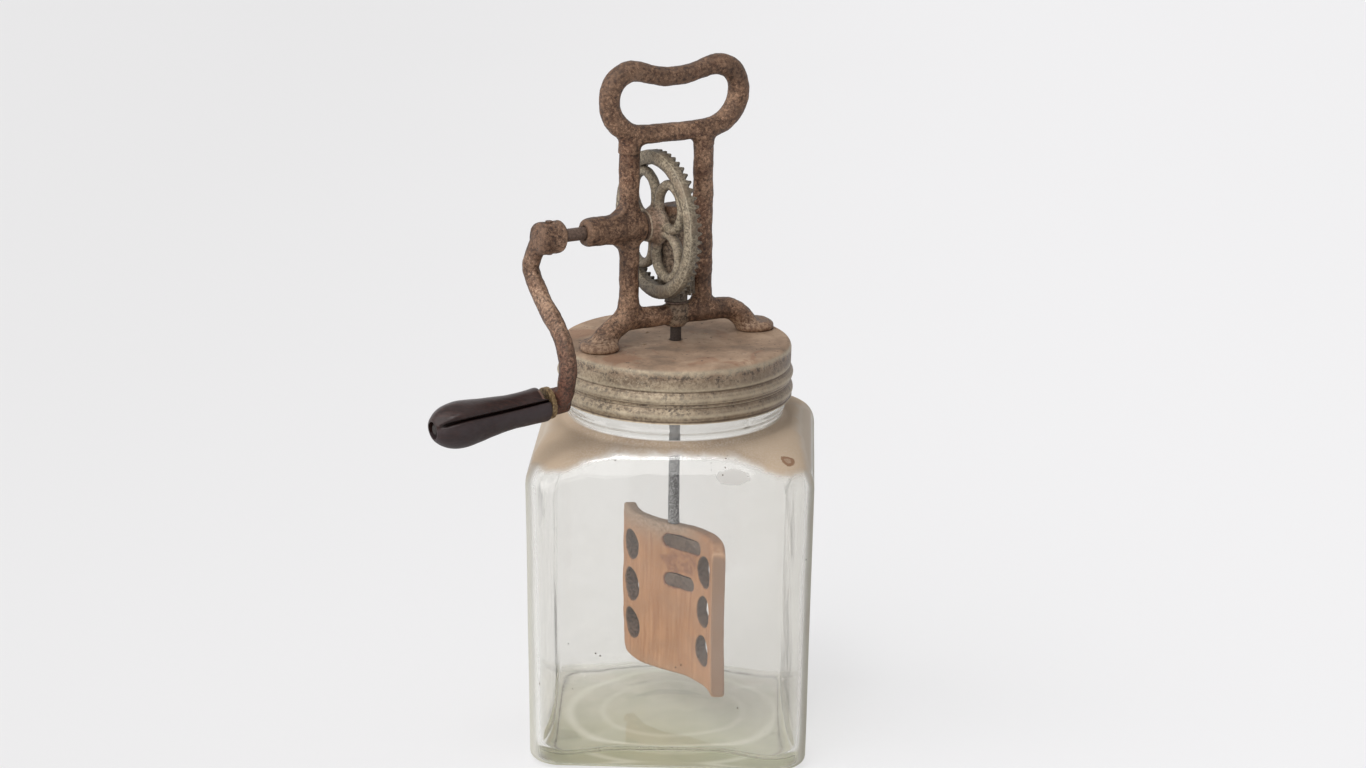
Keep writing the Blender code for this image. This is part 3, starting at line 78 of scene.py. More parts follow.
# Sizes of the jar, from the CAD part unless they are finer than it
JAR_HALF_WIDTH = 0.0697
JAR_TAPER = 0.0017
JAR_CORNER = 0.0140
JAR_WALL = 0.0045
JAR_FLOOR = 0.0080
HEEL_RISE = 0.0050
HEEL_INSET = 0.0060
FLOOR_FILLET = 0.0070
FLOOR_CROWN = 0.0007
SHOULDER_START = 0.1432
SHOULDER_RISE = 0.0195
SHOULDER_BLEND = 0.85
NECK_RADIUS = 0.0536
NECK_INNER = 0.0495
NECK_FLARE = 0.0030
NECK_ROOT = 0.1657
JAR_TOP = 0.1993
RIM = 0.0012
GRIME_REACH = 0.0590
GRIME_CORNER = 0.0130
GRIME_WIDTH = 0.0013
KICK_RADIUS = 0.0545
KICK_RISE = 0.0022
BEAD_HEIGHT = 0.0036
BEAD_DEPTH = 0.0009
BEAD_WIDTH = 0.0015 / 1.4
THREAD_LOW = 0.0120
THREAD_HIGH = 0.0240
THREAD_PITCH = 0.0080
THREAD_DEPTH = 0.0017
THREAD_HALF_WIDTH = 0.0017
LUG_ANGLE = -0.83
LUG_HEIGHT = 0.0052
LUG_DEPTH = 0.0016
LUG_WIDTH = 0.0017
WAVE_SIZE = 0.045
WAVE_SHIFT = (9, 4, 2)
WAVE_INSIDE = 0.0007
WAVE_OUTSIDE = -0.00025
WALL_THINNED = 0.0002
FLOOR_SAG = 0.0036
UNDER_HEIGHT = 0.0028
UNDER_KICK_HEIGHT = 0.0056
UNDER_SOFT = 0.0012
CORNER_STEPS = 14
SIDE_STEPS = 22

# Sizes of the lid
LID_TOP = 0.2020
LID_UNDERSIDE = 0.2012
LID_SHEET = 0.0008
LID_TURN = math.radians(33)
LID_HOLE = 0.00345
LID_DISH = 0.0330
LID_DISH_SLOPE = 0.0050
LID_DISH_DEPTH = 0.0007
LID_EDGE = 0.0032
LID_BAND = 0.0573
LID_GROOVE = 0.0567
LID_BEAD = 0.0584
LID_SKIRT = 0.0275
LID_BEAD_DROPS = (0.0157, 0.0236)
LID_GROOVE_DROPS = (0.0122, 0.0199)
LID_BEAD_HALF = 0.0019
VENT_RADIUS = 0.0012
VENT_RING = 0.0185
VENT_ANGLES = (6, 108, 184)
FOOT_REACH = 0.0443
FOOT_OFFSET = 0.0020
RIVET_HOLE = 0.0023
CUTTER_PAST = 0.003
DENT_TOP = 0.00010
DENT_WALL = 0.00022

# Sizes of the paddle; slots are (left, right, height) along the unrolled board, and the worn
# place is (left, right, low, high)
PADDLE_TURN = math.radians(-28)
PADDLE_CURL = 0.04517
PADDLE_HALF = 0.04573
PADDLE_HOLE_X = 0.02835
PADDLE_HOLE_RADIUS = 0.0078
PADDLE_HOLE_HEIGHTS = (0.0461, 0.0668, 0.0875)
PADDLE_SLOTS = ((-0.0040, 0.0225, 0.0973), (-0.0035, 0.0165, 0.0769))
PADDLE_SLOT_HALF = 0.0033
PADDLE_WORN = (-0.0035, 0.0195, 0.0785, 0.0955)
PADDLE_WORN_SOFT = 0.003

# Sizes of the grip; its runs are shares of the length, its swells shares of GRIP_SWELL
GRIP_START = 0.0072
GRIP_LENGTH = 0.0595
GRIP_NECK = 0.0084
GRIP_SWELL = 0.0027
GRIP_RUNS = (0.0, 0.02, 0.15, 0.30, 0.43, 0.54, 0.64, 0.76, 0.86, 0.93, 0.98, 1.0)
GRIP_SWELLS = (-0.25, 0.06, 0.0, 0.0, 0.20, 0.45, 0.76, 1.0, 0.75, 0.15, -0.70, -1.25)
GRIP_BORE = 0.0027
GRIP_HEAD = 0.0043
GRIP_SEAT = 0.0020
GRIP_SIDES = 120
CRACK_TURN = 0.10
CRACK_DEPTH = 0.0024
CRACK_END = 0.985
CRACK_LIP = 0.00045
CHIP_RUN = 0.12
CHIP_DEPTH = 0.0030

# Sizes of the frame, the crank and the gear; ALONG_AXLE turns Z onto the axle, at its place
UPRIGHT = Matrix()
AXLE = joints["crank_turn"]["axis"]
AXLE_PLACE = joints["crank_turn"]["pos_m"]
ALONG_AXLE = (Matrix.Translation(AXLE_PLACE) @ Matrix.Rotation(LID_TURN, 4, "Z")
              @ Matrix.Rotation(math.pi / 2, 4, "Y"))
BEARING_END = -0.0517
AXLE_BORE = 0.0035
AXLE_BORE_END = 0.0053
SHAFT_BORE = 0.00305
SHAFT_BORE_LOW = 0.2063
SHAFT_BORE_HIGH = 0.2563
BORE_PAST = 0.004
CROWN_FACE = -0.0136
CROWN_RADIUS = 0.03305
WEB_RINGS = 4
WEB_TURN = math.radians(51)
WEB_REACH = 0.01746
WEB_BAR_REACH = 0.01094
WEB_MIDDLE = -0.0115
WEB_BAR = (0.0024, 0.0025)
CROWN_BAR = (0.0032, 0.0019)
HUB_END = -0.0777
BEARING_MIDDLE = -0.036
HUB_PLACE = tuple(place + HUB_END * part for place, part in zip(AXLE_PLACE, AXLE))
BEARING_PLACE = tuple(place + BEARING_MIDDLE * part for place, part in zip(AXLE_PLACE, AXLE))
LOOP_MIDDLE = -0.0017
LOOP_LOW = 0.298
LOOP_LOBE = 0.0006

# Colours of the iron, the glass and the jar's underside, which paints the light seen through the
# base with painted highlights on its two moulded rings, as (radius, half width, strength)
IRON_DARK = (0.026, 0.0120, 0.0070)
IRON_MID = (0.121, 0.062, 0.035)
IRON_LIGHT = (0.290, 0.174, 0.108)
IRON_RED = (0.125, 0.045, 0.023)
GLASS_TINT = (0.936, 0.928, 0.912)
GLASS_PASSES = (0.97, 0.972, 0.955)
GLASS_ABSORBS = (0.58, 0.64, 0.40)
GLASS_DENSITY = 6
GLASS_IOR = 1.42
BASE_TONE = (0.56, 0.545, 0.395)
BASE_BACK_TONE = (0.78, 0.725, 0.64)
BASE_DARK_TONE = (0.45, 0.455, 0.315)
BASE_PALE_TONE = (0.86, 0.84, 0.73)
BASE_RINGS = ((0.0528, 0.0046, 0.85), (0.0355, 0.0036, 0.45))
BASE_COVER = 0.68
RING_STAIN_PLACE = (0.0568, -0.0568, 0.1573)
GREY_PATCH_PLACE = (0.0305, -0.0676, 0.1520)
SPECKS_PLACE = (0.0255, -0.0648, 0.1572)
STAIN_STRENGTH = 2.2


# Nodes

class Signal:
    """What a shader node gives out; arithmetic on it makes more nodes."""

    def __init__(self, socket):
        self.socket = socket
        self.tree = socket.id_data

    def maths(self, operation, other=0.0):
        return make(self.tree, "Math", {"operation": operation}, i0=self, i1=other)

    def __add__(self, other):
        return self.maths("ADD", other)

    def __sub__(self, other):
        return self.maths("SUBTRACT", other)

    def __rsub__(self, other):
        return make(self.tree, "Math", {"operation": "SUBTRACT"}, i0=other, i1=self)

    def __mul__(self, other):
        return self.maths("MULTIPLY", other)

    def __abs__(self):
        return self.maths("ABSOLUTE")

    def axis(self, letter):
        """One coordinate of a place, in metres."""
        return make(self.tree, "SeparateXYZ", outputs="XYZ".index(letter), Vector=self)


def fill(node, **inputs):
    """Links or sets a node's inputs, which go by name, or by number as i0 and i1."""
    for name, value in inputs.items():
        socket = node.inputs[int(name[1:]) if name[1:].isdigit() else name.replace("_", " ")]
        if isinstance(value, Signal):
            node.id_data.links.new(value.socket, socket)
        else:
            socket.default_value = value


def make(tree, kind, settings=None, outputs=0, **inputs):
    """A shader node with its settings and inputs; returns one of its outputs."""
    made = tree.nodes.new("ShaderNode" + kind)
    for name, value in (settings or {}).items():
        setattr(made, name, value)
    fill(made, **inputs)
    return Signal(made.outputs[outputs])


def most(signal, *others):
    """The largest of several signals at each place."""
    for other in others:
        signal = signal.maths("MAXIMUM", other)
    return signal


def between(signal, low, high, start=0.0, end=1.0):
    """Climbs smoothly from start to end as the signal goes from low to high."""
    return make(signal.tree, "MapRange", {"interpolation_type": "SMOOTHSTEP"}, Value=signal,
                From_Min=low, From_Max=high, To_Min=start, To_Max=end)


def rgba(colour):
    """A colour with its alpha; a signal stays as it is."""
    return colour if isinstance(colour, Signal) else (*colour, 1.0)


def blend(factor, one, two, mode="MIX"):
    """A mix of two colours by a factor."""
    settings = {"data_type": "RGBA", "blend_type": mode}
    return make(factor.tree, "Mix", settings, 2, i0=factor, i6=rgba(one), i7=rgba(two))


def mottle(signal, low, high, one, two):
    """One colour where the signal is low, the other where it is high."""
    return blend(between(signal, low, high), one, two)


def painted(colour, *coats):
    """A colour under coats of (factor, tone) or of (signal, low, high, strength, tone)."""
    for factor, *span, tone in coats:
        if span:
            low, high, strength = span
            factor = between(factor, low, high, 0.0, strength)
        colour = blend(factor, colour, tone)
    return colour


def ramp(signal, *stops):
    """A colour ramp through (position, colour) stops."""
    made = signal.tree.nodes.new("ShaderNodeValToRGB")
    elements = made.color_ramp.elements
    for element, (position, colour) in zip(elements, (stops[0], stops[-1])):
        element.position, element.color = position, rgba(colour)
    for position, colour in stops[1:-1]:
        elements.new(position).color = rgba(colour)
    fill(made, i0=signal)
    return Signal(made.outputs[0])


def stretched(place, scale, turn=0.0):
    """A place turned about Z and scaled along each axis."""
    return make(place.tree, "Mapping", Vector=place, Rotation=(0, 0, turn), Scale=scale)


def clouds(place, size, detail=4.0, rough=0.55, distort=0.0):
    """Soft noise whose lumps are about size across."""
    return make(place.tree, "TexNoise", Vector=place, Scale=1 / size, Detail=detail,
                Roughness=rough, Distortion=distort)


def dots(place, size):
    """Distance to the nearest of many scattered points, size apart."""
    return make(place.tree, "TexVoronoi", Vector=place, Scale=1 / size)


def distance(place, centre=(0, 0, 0), scale=(1, 1, 1)):
    """Distance from a centre, with each axis scaled."""
    moved = make(place.tree, "VectorMath", {"operation": "SUBTRACT"}, i0=place, i1=centre)
    moved = make(place.tree, "VectorMath", {"operation": "MULTIPLY"}, i0=moved, i1=scale)
    return make(place.tree, "VectorMath", {"operation": "LENGTH"}, 1, i0=moved)


def bumpy(height, depth, strength, normal=None):
    """A normal from a height field that is depth deep, over another normal."""
    under = {"Normal": normal} if normal else {}
    return make(height.tree, "Bump", Strength=strength, Distance=depth, Height=height, **under)


def is_ray(tree, *kinds):
    """1 for the named kinds of ray, else 0."""
    path = tree.nodes.new("ShaderNodeLightPath")
    return most(*(Signal(path.outputs[f"Is {kind} Ray"]) for kind in kinds))


class Look:
    """A new material with its shader and the place on the object."""

    def __init__(self, name):
        self.material = bpy.data.materials.new(name)
        self.material.use_nodes = True
        self.tree = self.material.node_tree
        self.shader = self.tree.nodes["Principled BSDF"]
        self.place = make(self.tree, "TexCoord", outputs="Object")

    def mask(self, name):
        """A value that the mesh keeps for each point."""
        return make(self.tree, "Attribute", {"attribute_name": name}, 2)

    def point(self):
        """Above a half on outer edges and below it in inner corners."""
        return make(self.tree, "NewGeometry", outputs="Pointiness")

    def facing(self):
        """Rises to 1 where the surface turns away from the eye."""
        return make(self.tree, "LayerWeight", outputs="Facing", Blend=0.5)

    def mix(self, factor, other):
        """Mixes another shader in."""
        both = make(self.tree, "MixShader", i0=factor, i1=Signal(self.shader.outputs[0]),
                    i2=other)
        fill(self.tree.nodes["Material Output"], Surface=both)

    def done(self, **inputs):
        """Fills the shader's inputs and gives the material."""
        fill(self.shader, **inputs)
        return self.material


# Materials

def mixed(one, two, share):
    """A fixed colour between two others."""
    return [a + (b - a) * share for a, b in zip(one, two)]


def rusty_iron(name, dark, mid, light, red, shade_low=None, dusty=False):
    """Brown rusted casting with pale flecks, dark pits and redder patches, and painted shade in its
    inner corners and round its outline.
    """
    look = Look(name)
    place = look.place
    height = place.axis("Z")
    broad = clouds(place, 0.013, 6, 0.65)
    other = clouds(stretched(place, (1, 1, 0.7), 0.7), 0.021, 4, 0.6)
    fine = clouds(place, 0.0015, 5, 0.75)
    grit = clouds(place, 0.0007, 4, 0.7)
    fleck = between(fine, 0.525, 0.575, 0.0, 0.90) * between(broad, 0.38, 0.58, 0.35, 1.0)
    colour = ramp(broad, (0.36, mixed(dark, mid, 0.28)), (0.49, mid),
                  (0.63, mixed(mid, light, 0.85)))
    colour = painted(colour, (other, 0.50, 0.64, 0.7, blend(fine, red, mid)),
                     (fleck, [min(0.6, part * 1.35) for part in light]),
                     (fine, 0.46, 0.405, 0.85, dark), (grit, 0.43, 0.37, 0.75, dark))
    if dusty:
        # Pale dust lies on the two bosses round the dasher's shaft and on the feet, and painted
        # shade darkens the bearing and the loop's top
        past = distance(place, scale=(1, 1, 0)) - between(height, 0.2190, 0.2230, 0.0068, 0.0100)
        near = between(past, 0.0, -0.0014) * between(height, 0.2680, 0.2640)
        # Painted shade: darker round the bearing and on the top of the loop.
        worn = most(between(distance(place, BEARING_PLACE), 0.030, 0.012, 0.0, 0.30),
                    between(height, 0.324, 0.334, 0.0, 0.35))
        colour = painted(
            colour,
            (near * 0.85, mottle(fine, 0.44, 0.56, (0.070, 0.051, 0.035), (0.28, 0.212, 0.150))),
            (worn, dark),
            (height, 0.2120, 0.2060, 0.80, mottle(fine, 0.40, 0.58, mid, (0.40, 0.275, 0.185))))
    # Paler on outer edges, as wear and a painted highlight; darker in inner corners, as painted
    # shade.
    point = look.point()
    colour = painted(colour, (point, 0.504, 0.520, 0.30, light), (point, 0.497, 0.482, 0.5, dark))
    # Painted shade darkens the arm towards its bottom; its hub is darkened as well.
    if shade_low:
        low, high, tone = shade_low
        colour = painted(colour, (height + (other - 0.5) * 0.03, high, low, 0.85,
                                  mottle(fine, 0.4, 0.6, dark, tone)))
        hub = between(distance(place, HUB_PLACE), 0.0140, 0.0085, 0.0, 0.60)
        colour = blend(hub, colour, mid, "MULTIPLY")
    # Painted shade: the colour darkens round the outline, where the surface turns away from the eye.
    return look.done(
        Base_Color=painted(colour, (look.facing(), 0.50, 0.95, 0.65, dark)),
        Normal=bumpy(grit, 0.00018, 0.8, bumpy(fine, 0.0005, 0.75)),
        Roughness=between(fine, 0.35, 0.65, 0.46, 0.66), Specular_IOR_Level=0.32)


def dusty_gear(name):
    """Grey-olive cast metal with a pinkish hub and dark grease round its teeth; darker towards its
    bottom and deep in its crown, with grime and painted shade in its inner corners and painted shade
    round its outline.
    """
    look = Look(name)
    broad = clouds(look.place, 0.010, 5, 0.6)
    fine = clouds(look.place, 0.0013, 5, 0.75)
    grit = clouds(look.place, 0.0021, 5, 0.8)
    point = look.point()
    colour = ramp(fine, (0.39, (0.075, 0.056, 0.036)), (0.49, (0.205, 0.164, 0.110)),
                  (0.59, (0.37, 0.305, 0.217)))
    colour = painted(
        colour,
        (broad, 0.48, 0.62, 0.6, (0.185, 0.130, 0.084)),
        (look.mask("hub") * 0.85,
         mottle(fine, 0.38, 0.62, (0.10, 0.058, 0.036), (0.29, 0.180, 0.120))),
        (fine, 0.42, 0.36, 0.7, (0.075, 0.055, 0.036)),
        # Darker in inner corners, as grime and painted shade.
        (point, 0.497, 0.470, 0.80, (0.050, 0.036, 0.024)),
        (point, 0.505, 0.530, 0.40, (0.40, 0.345, 0.255)),
        # Painted shade round the outline, where the surface turns away from the eye.
        (look.facing(), 0.45, 0.92, 0.70, (0.055, 0.041, 0.028)),
        # Dark grease round the teeth; the same mask darkens the gear towards its bottom and deep in
        # its crown.
        (look.mask("teeth") * between(grit, 0.38, 0.60, 1.0, 0.45), (0.042, 0.031, 0.021)))
    return look.done(Base_Color=colour, Normal=bumpy(fine, 0.0004, 0.6), Metallic=0.1,
                     Roughness=between(fine, 0.3, 0.7, 0.46, 0.7))


def tarnished_tin(name):
    """Zinc-grey tin: dusty brown on top, pale and pitted round its wall, with rust and painted shade
    on its right side, painted shade in its grooves and painted highlights on its beads.
    """
    look = Look(name)
    place = look.place
    height = place.axis("Z")
    broad = clouds(place, 0.024, 6, 0.65)
    fine = clouds(place, 0.0016, 5, 0.7)
    rust = clouds(place, 0.009, 6, 0.75)
    point = look.point()
    on_top = between(height, LID_TOP - 0.0022, LID_TOP - 0.0006)
    edge = between(abs(height - (LID_TOP - 0.0036)), 0.0040, 0.0008)
    where = most(edge, between(rust, 0.46, 0.58, 0.0, 0.9))
    for drop in LID_BEAD_DROPS:
        crest = between(abs(height - (LID_TOP - drop + 0.0012)), 0.0026, 0.0006)
        where = most(where, crest * between(broad, 0.42, 0.54, 0.15, 0.95))
    pitting = between(clouds(place, 0.0024, 5, 0.8), 0.515, 0.535) * where
    wall = ramp(broad, (0.36, (0.165, 0.117, 0.075)), (0.48, (0.270, 0.203, 0.135)),
                (0.64, (0.400, 0.315, 0.215)))
    wall = painted(
        wall,
        (fine, 0.50, 0.60, 0.45, (0.50, 0.410, 0.290)),
        (fine, 0.47, 0.38, 0.60, (0.120, 0.080, 0.050)),
        # Darker towards the right: rust, and painted shade on the side away from the light.
        (place.axis("X"), -0.010, 0.050, 0.80,
         mottle(rust, 0.35, 0.6, (0.095, 0.062, 0.040), (0.200, 0.142, 0.095))),
        (edge * 0.35, (0.23, 0.135, 0.085)),
        (pitting * 0.95, (0.050, 0.031, 0.020)),
        # Painted shade in the grooves and a painted highlight on the crests of the beads.
        (point, 0.497, 0.475, 0.8, (0.085, 0.056, 0.036)),
        (point, 0.503, 0.52, 0.45, (0.58, 0.49, 0.35)))
    top = ramp(broad, (0.36, (0.200, 0.136, 0.091)), (0.50, (0.315, 0.211, 0.140)),
               (0.63, (0.430, 0.302, 0.206)))
    top = painted(
        top,
        (rust, 0.42, 0.34, 0.5, (0.155, 0.108, 0.078)),
        (clouds(place, 0.022, 5, 0.6, 1.2), 0.54, 0.64, 0.5,
         blend(rust, (0.20, 0.080, 0.038), (0.31, 0.165, 0.095))),
        (clouds(place, 0.0032, 4, 0.7), 0.63, 0.66, 0.9, (0.060, 0.038, 0.026)))
    return look.done(
        Base_Color=blend(on_top, wall, top),
        Normal=bumpy(pitting, -0.00025, 0.5, bumpy(fine, 0.0003, 0.4)),
        Metallic=between(on_top, 0.0, 1.0, 0.30, 0.0) * between(pitting, 0.0, 1.0, 1.0, 0.0),
        Roughness=between(on_top, 0.0, 1.0, 0.48, 0.76))


def pitted_steel(name, dark, light, size=0.0011, metal=0.3, rough=0.55):
    """Dark worn steel with scattered pits."""
    look = Look(name)
    fine = clouds(look.place, size, 4, 0.75)
    broad = clouds(look.place, size * 8, 3)
    colour = painted(ramp(fine, (0.36, dark), (0.62, light)), (broad, 0.5, 0.66, 0.5, dark))
    return look.done(Base_Color=colour, Metallic=metal, Normal=bumpy(fine, size * 0.35, 0.6),
                     Roughness=between(broad, 0.3, 0.7, rough - 0.1, rough + 0.12))


def shaft_steel(name):
    """The dasher's shaft: brown-black above the lid, grey and scaly in the jar."""
    look = Look(name)
    fine = clouds(look.place, 0.0009, 4, 0.8)
    above = ramp(fine, (0.35, (0.022, 0.013, 0.009)), (0.65, (0.06, 0.042, 0.032)))
    below = ramp(fine, (0.40, (0.035, 0.035, 0.038)), (0.50, (0.20, 0.197, 0.205)),
                 (0.62, (0.42, 0.413, 0.425)))
    return look.done(Base_Color=mottle(look.place.axis("Z"), 0.200, 0.196, above, below),
                     Metallic=0.2, Roughness=0.62, Normal=bumpy(fine, 0.00035, 0.7))


def varnished_wood(name):
    """Near-black brown grip with long soft streaks, paler where it is rubbed."""
    look = Look(name)
    axis = joints["grip_spin"]["axis"]
    along = stretched(look.place, (70, 900, 900), -math.atan2(axis[1], axis[0]))
    streak = clouds(along, 1.0, 4, 0.6)
    broad = clouds(look.place, 0.012, 4, 0.6)
    fine = clouds(look.place, 0.0008, 3, 0.7)
    lower = look.mask("lower")
    colour = ramp(streak, (0.30, (0.009, 0.0036, 0.0028)), (0.55, (0.024, 0.0088, 0.0066)),
                  (0.74, (0.052, 0.0205, 0.0150)))
    colour = painted(
        colour,
        (broad, 0.50, 0.66, 0.5, (0.038, 0.022, 0.020)),
        (lower * between(broad, 0.3, 0.6, 0.35, 0.8), (0.042, 0.031, 0.033)),
        (look.mask("worn"), (0.19, 0.115, 0.085)),
        (look.mask("crack"), (0.004, 0.0025, 0.002)))
    return look.done(Base_Color=colour, Roughness=between(lower, 0.0, 1.0, 0.30, 0.50),
                     Specular_IOR_Level=0.30,
                     Normal=bumpy(fine, 0.0001, 0.4, bumpy(streak, 0.0004, 0.35)))


def paddle_wood(name):
    """Pale, rubbed wood with upright grain, painted shade on the walls of its holes and a worn place
    by the keys.
    """
    look = Look(name)
    grain = clouds(stretched(look.place, (420, 420, 26)), 1.0, 5, 0.6)
    broad = clouds(look.place, 0.018, 4, 0.6)
    fine = clouds(look.place, 0.0011, 4, 0.7)
    patchy = between(clouds(look.place, 0.005, 4, 0.7, 1.5), 0.38, 0.56, 0.15, 1.0)
    colour = ramp(grain, (0.32, (0.33, 0.148, 0.066)), (0.52, (0.425, 0.208, 0.098)),
                  (0.70, (0.50, 0.268, 0.140)))
    colour = painted(
        colour,
        (broad, 0.44, 0.62, 0.6, (0.34, 0.172, 0.088)),
        (look.mask("ends"), (0.27, 0.150, 0.086)),
        (look.mask("arris"), (0.62, 0.39, 0.24)),
        (look.mask("stain"),
         mottle(fine, 0.35, 0.65, (0.22, 0.155, 0.110), (0.44, 0.330, 0.250))),
        (look.mask("worn") * patchy, (0.23, 0.100, 0.060)),
        # Painted shade on the walls of the holes.
        (look.mask("hole"),
         mottle(fine, 0.35, 0.65, (0.050, 0.028, 0.018), (0.17, 0.105, 0.072))))
    return look.done(Base_Color=colour, Roughness=0.68,
                     Normal=bumpy(fine, 0.00012, 0.4, bumpy(grain, 0.0003, 0.35)))


def dull_brass(name):
    look = Look(name)
    fine = clouds(look.place, 0.0014, 4, 0.7)
    colour = ramp(fine, (0.35, (0.075, 0.042, 0.020)), (0.52, (0.20, 0.13, 0.06)),
                  (0.70, (0.36, 0.26, 0.13)))
    return look.done(Base_Color=colour, Metallic=0.4, Roughness=0.55,
                     Normal=bumpy(fine, 0.0002, 0.5))


def old_rubber(name):
    look = Look(name)
    fine = clouds(look.place, 0.0012, 4)
    colour = ramp(fine, (0.35, (0.05, 0.04, 0.033)), (0.65, (0.12, 0.10, 0.085)))
    return look.done(Base_Color=colour, Roughness=0.8, Normal=bumpy(fine, 0.0002, 0.5))


def ring_stain(place):
    """A small brown ring near the front right shoulder."""
    away = distance(place, RING_STAIN_PLACE) + (clouds(place, 0.0032, 3, 0.6) - 0.5) * 0.0030
    ring = between(abs(away - 0.0026), 0.0013, 0.0004, 0.0, 0.90)
    spot = between(away, 0.0028, 0.0020, 0.0, 0.55) * clouds(place, 0.0009, 4, 0.7)
    return most(ring, spot), (0.24, 0.120, 0.060)


def grey_patch(place):
    """A torn grey scrap of old film on the front."""
    away = distance(place, GREY_PATCH_PLACE, (0.55, 0.6, 1.2))
    away += (clouds(place, 0.004, 2, 0.5) - 0.5) * 0.004
    return between(away, 0.0049, 0.0042, 0.0, 0.45), (0.60, 0.58, 0.555)


def specks(place):
    """Tiny dark specks scattered over the glass, and a group of them on the front."""
    near = between(dots(place, 0.011), 0.045, 0.032, 0.0, 0.8)
    near *= between(clouds(place, 0.02, 2, 0.5), 0.50, 0.56)
    group = between(distance(place, SPECKS_PLACE), 0.0065, 0.0040)
    group *= between(dots(place, 0.0021), 0.22, 0.16)
    return most(near, group), (0.10, 0.075, 0.055)


def clear_glass(name):
    """Old clear glass; cover is how far dust, stains, film, grime, the painted tone of its edges and
    the painted underside hide it at a place.
    """
    look = Look(name)
    place = look.place
    across, deep, height = (place.axis(letter) for letter in "XYZ")
    fine = clouds(place, 0.0009, 4, 0.7)
    broad = clouds(place, 0.020, 4, 0.6)
    outside = 1.0 - look.mask("inside")
    aside = abs(across).maths("MINIMUM", abs(deep))
    neck = between(height, 0.1655, 0.1675)

    # Dust on the shoulder, which reaches lower at the corners, and painted light that makes it paler
    # towards the left and right
    up = make(look.tree, "NewGeometry", outputs="Normal").axis("Z")
    edge = height + (broad - 0.5) * 0.008 + between(aside, 0.026, 0.056, 0.0, 0.0075)
    dust = between(up, 0.10, 0.55) * between(edge, 0.1578, 0.1628)
    dust = dust * between(height, 0.1695, 0.1665) * between(fine, 0.25, 0.6, 0.80, 0.97)
    cover = dust * outside
    colour = painted(
        GLASS_TINT,
        (cover, mottle(broad, 0.3, 0.7, (0.31, 0.218, 0.141), (0.43, 0.322, 0.222))),
        # Painted light: the dust paler towards the left and right.
        (dust * between(abs(across), 0.030, 0.058, 0.0, 0.75), (0.56, 0.425, 0.300)))

    # A painted reflection where the glass bends out of sight, at the corners and the shoulder;
    # darker on the right as painted shade, and tan at the shoulder
    bent = most(between(aside, 0.050, 0.057), between(height, 0.146, 0.154))
    facing = look.facing()
    rim = most(between(facing, 0.84, 0.97, 0.0, 0.80),
               bent * between(facing, 0.09, 0.72, 0.0, 0.86))
    rim = rim * outside * (1.0 - neck)
    painted_edge_tone = painted(mottle(across, -0.03, 0.05, (0.47, 0.455, 0.39), (0.325, 0.280, 0.212)),
                       (broad, 0.35, 0.65, 0.45, (0.44, 0.45, 0.36)),
                       (height, 0.142, 0.154, 1.0, (0.42, 0.320, 0.222)))
    colour = blend(rim * (1.0 - cover), colour, painted_edge_tone)

    # The underside, painted as the light and floor seen through the thick base: paler at the back,
    # with painted highlights along its moulded rings
    under = look.mask("under")
    around = distance(place, scale=(1, 1, 0))
    tone = mottle(deep + (broad - 0.5) * 0.08, -0.045, 0.055, BASE_TONE, BASE_BACK_TONE)
    tone = painted(tone, (broad, 0.42, 0.62, 0.5, BASE_DARK_TONE),
                   *((abs(around - radius), width, 0.0, strength, BASE_PALE_TONE)
                     for radius, width, strength in BASE_RINGS))
    colour = blend(under, colour, tone)
    cover = most(cover, rim, under * BASE_COVER)

    # Stains, a thin film that thickens towards the right, a painted reflection of the lid's
    # underside round the neck, and the grime in the heel
    for stain in (ring_stain, grey_patch, specks):
        mask, tone = stain(place)
        mask *= outside
        colour = blend(mask * STAIN_STRENGTH, colour, tone)
        cover = most(cover, mask)
    film = between(clouds(place, 0.030, 5, 0.65), 0.35, 0.75, 0.005, 0.035)
    # Round the neck the film is a painted reflection of the lid's underside.
    film = film + between(across, 0.005, 0.060, 0.0, 0.07) + neck * 0.09
    grime = look.mask("grime") * between(clouds(place, 0.0035, 4, 0.75), 0.36, 0.54, 0.25, 1.0)
    colour = painted(colour, (film, (0.52, 0.46, 0.38)), (grime, (0.085, 0.052, 0.036)))
    cover = most(cover, film, grime)

    clear = 1.0 - cover
    waves = clouds(place, 0.022, 2, 0.4) * between(height, 0.166, 0.150)
    look.mix(is_ray(look.tree, "Shadow", "Diffuse") * clear,
             make(look.tree, "BsdfTransparent", Color=rgba(GLASS_PASSES)))
    fill(look.tree.nodes["Material Output"],
         Volume=make(look.tree, "VolumeAbsorption", Color=rgba(GLASS_ABSORBS),
                     Density=GLASS_DENSITY))
    return look.done(Base_Color=colour, IOR=GLASS_IOR, Transmission_Weight=clear,
                     Roughness=between(cover, 0.1, 0.8, 0.015, 0.75),
                     Normal=bumpy(waves, 0.0012, 0.25))


# Meshes

def added(name, data):
    """A new object in the scene."""
    made = bpy.data.objects.new(name, data)
    bpy.context.scene.collection.objects.link(made)
    return made


def new_piece(name, mesh, look, body, slot, *nodes):
    """A detailed piece that rides on a body and stands for CAD nodes."""
    piece = added(name, mesh)
    mesh.materials.clear()
    mesh.materials.append(look)
    mesh.shade_smooth()
    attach(piece, body)
    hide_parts(*nodes)
    return piece


def arrays(mesh):
    """A mesh's points and normals as arrays."""
    both = []
    for values, name in ((mesh.vertices, "co"), (mesh.vertex_normals, "vector")):
        flat = np.zeros(len(values) * 3, np.float32)
        values.foreach_get(name, flat)
        both.append(flat.reshape(-1, 3).astype(float))
    return both


def write_points(mesh, points):
    mesh.vertices.foreach_set("co", points.astype(np.float32).ravel())
    mesh.update()


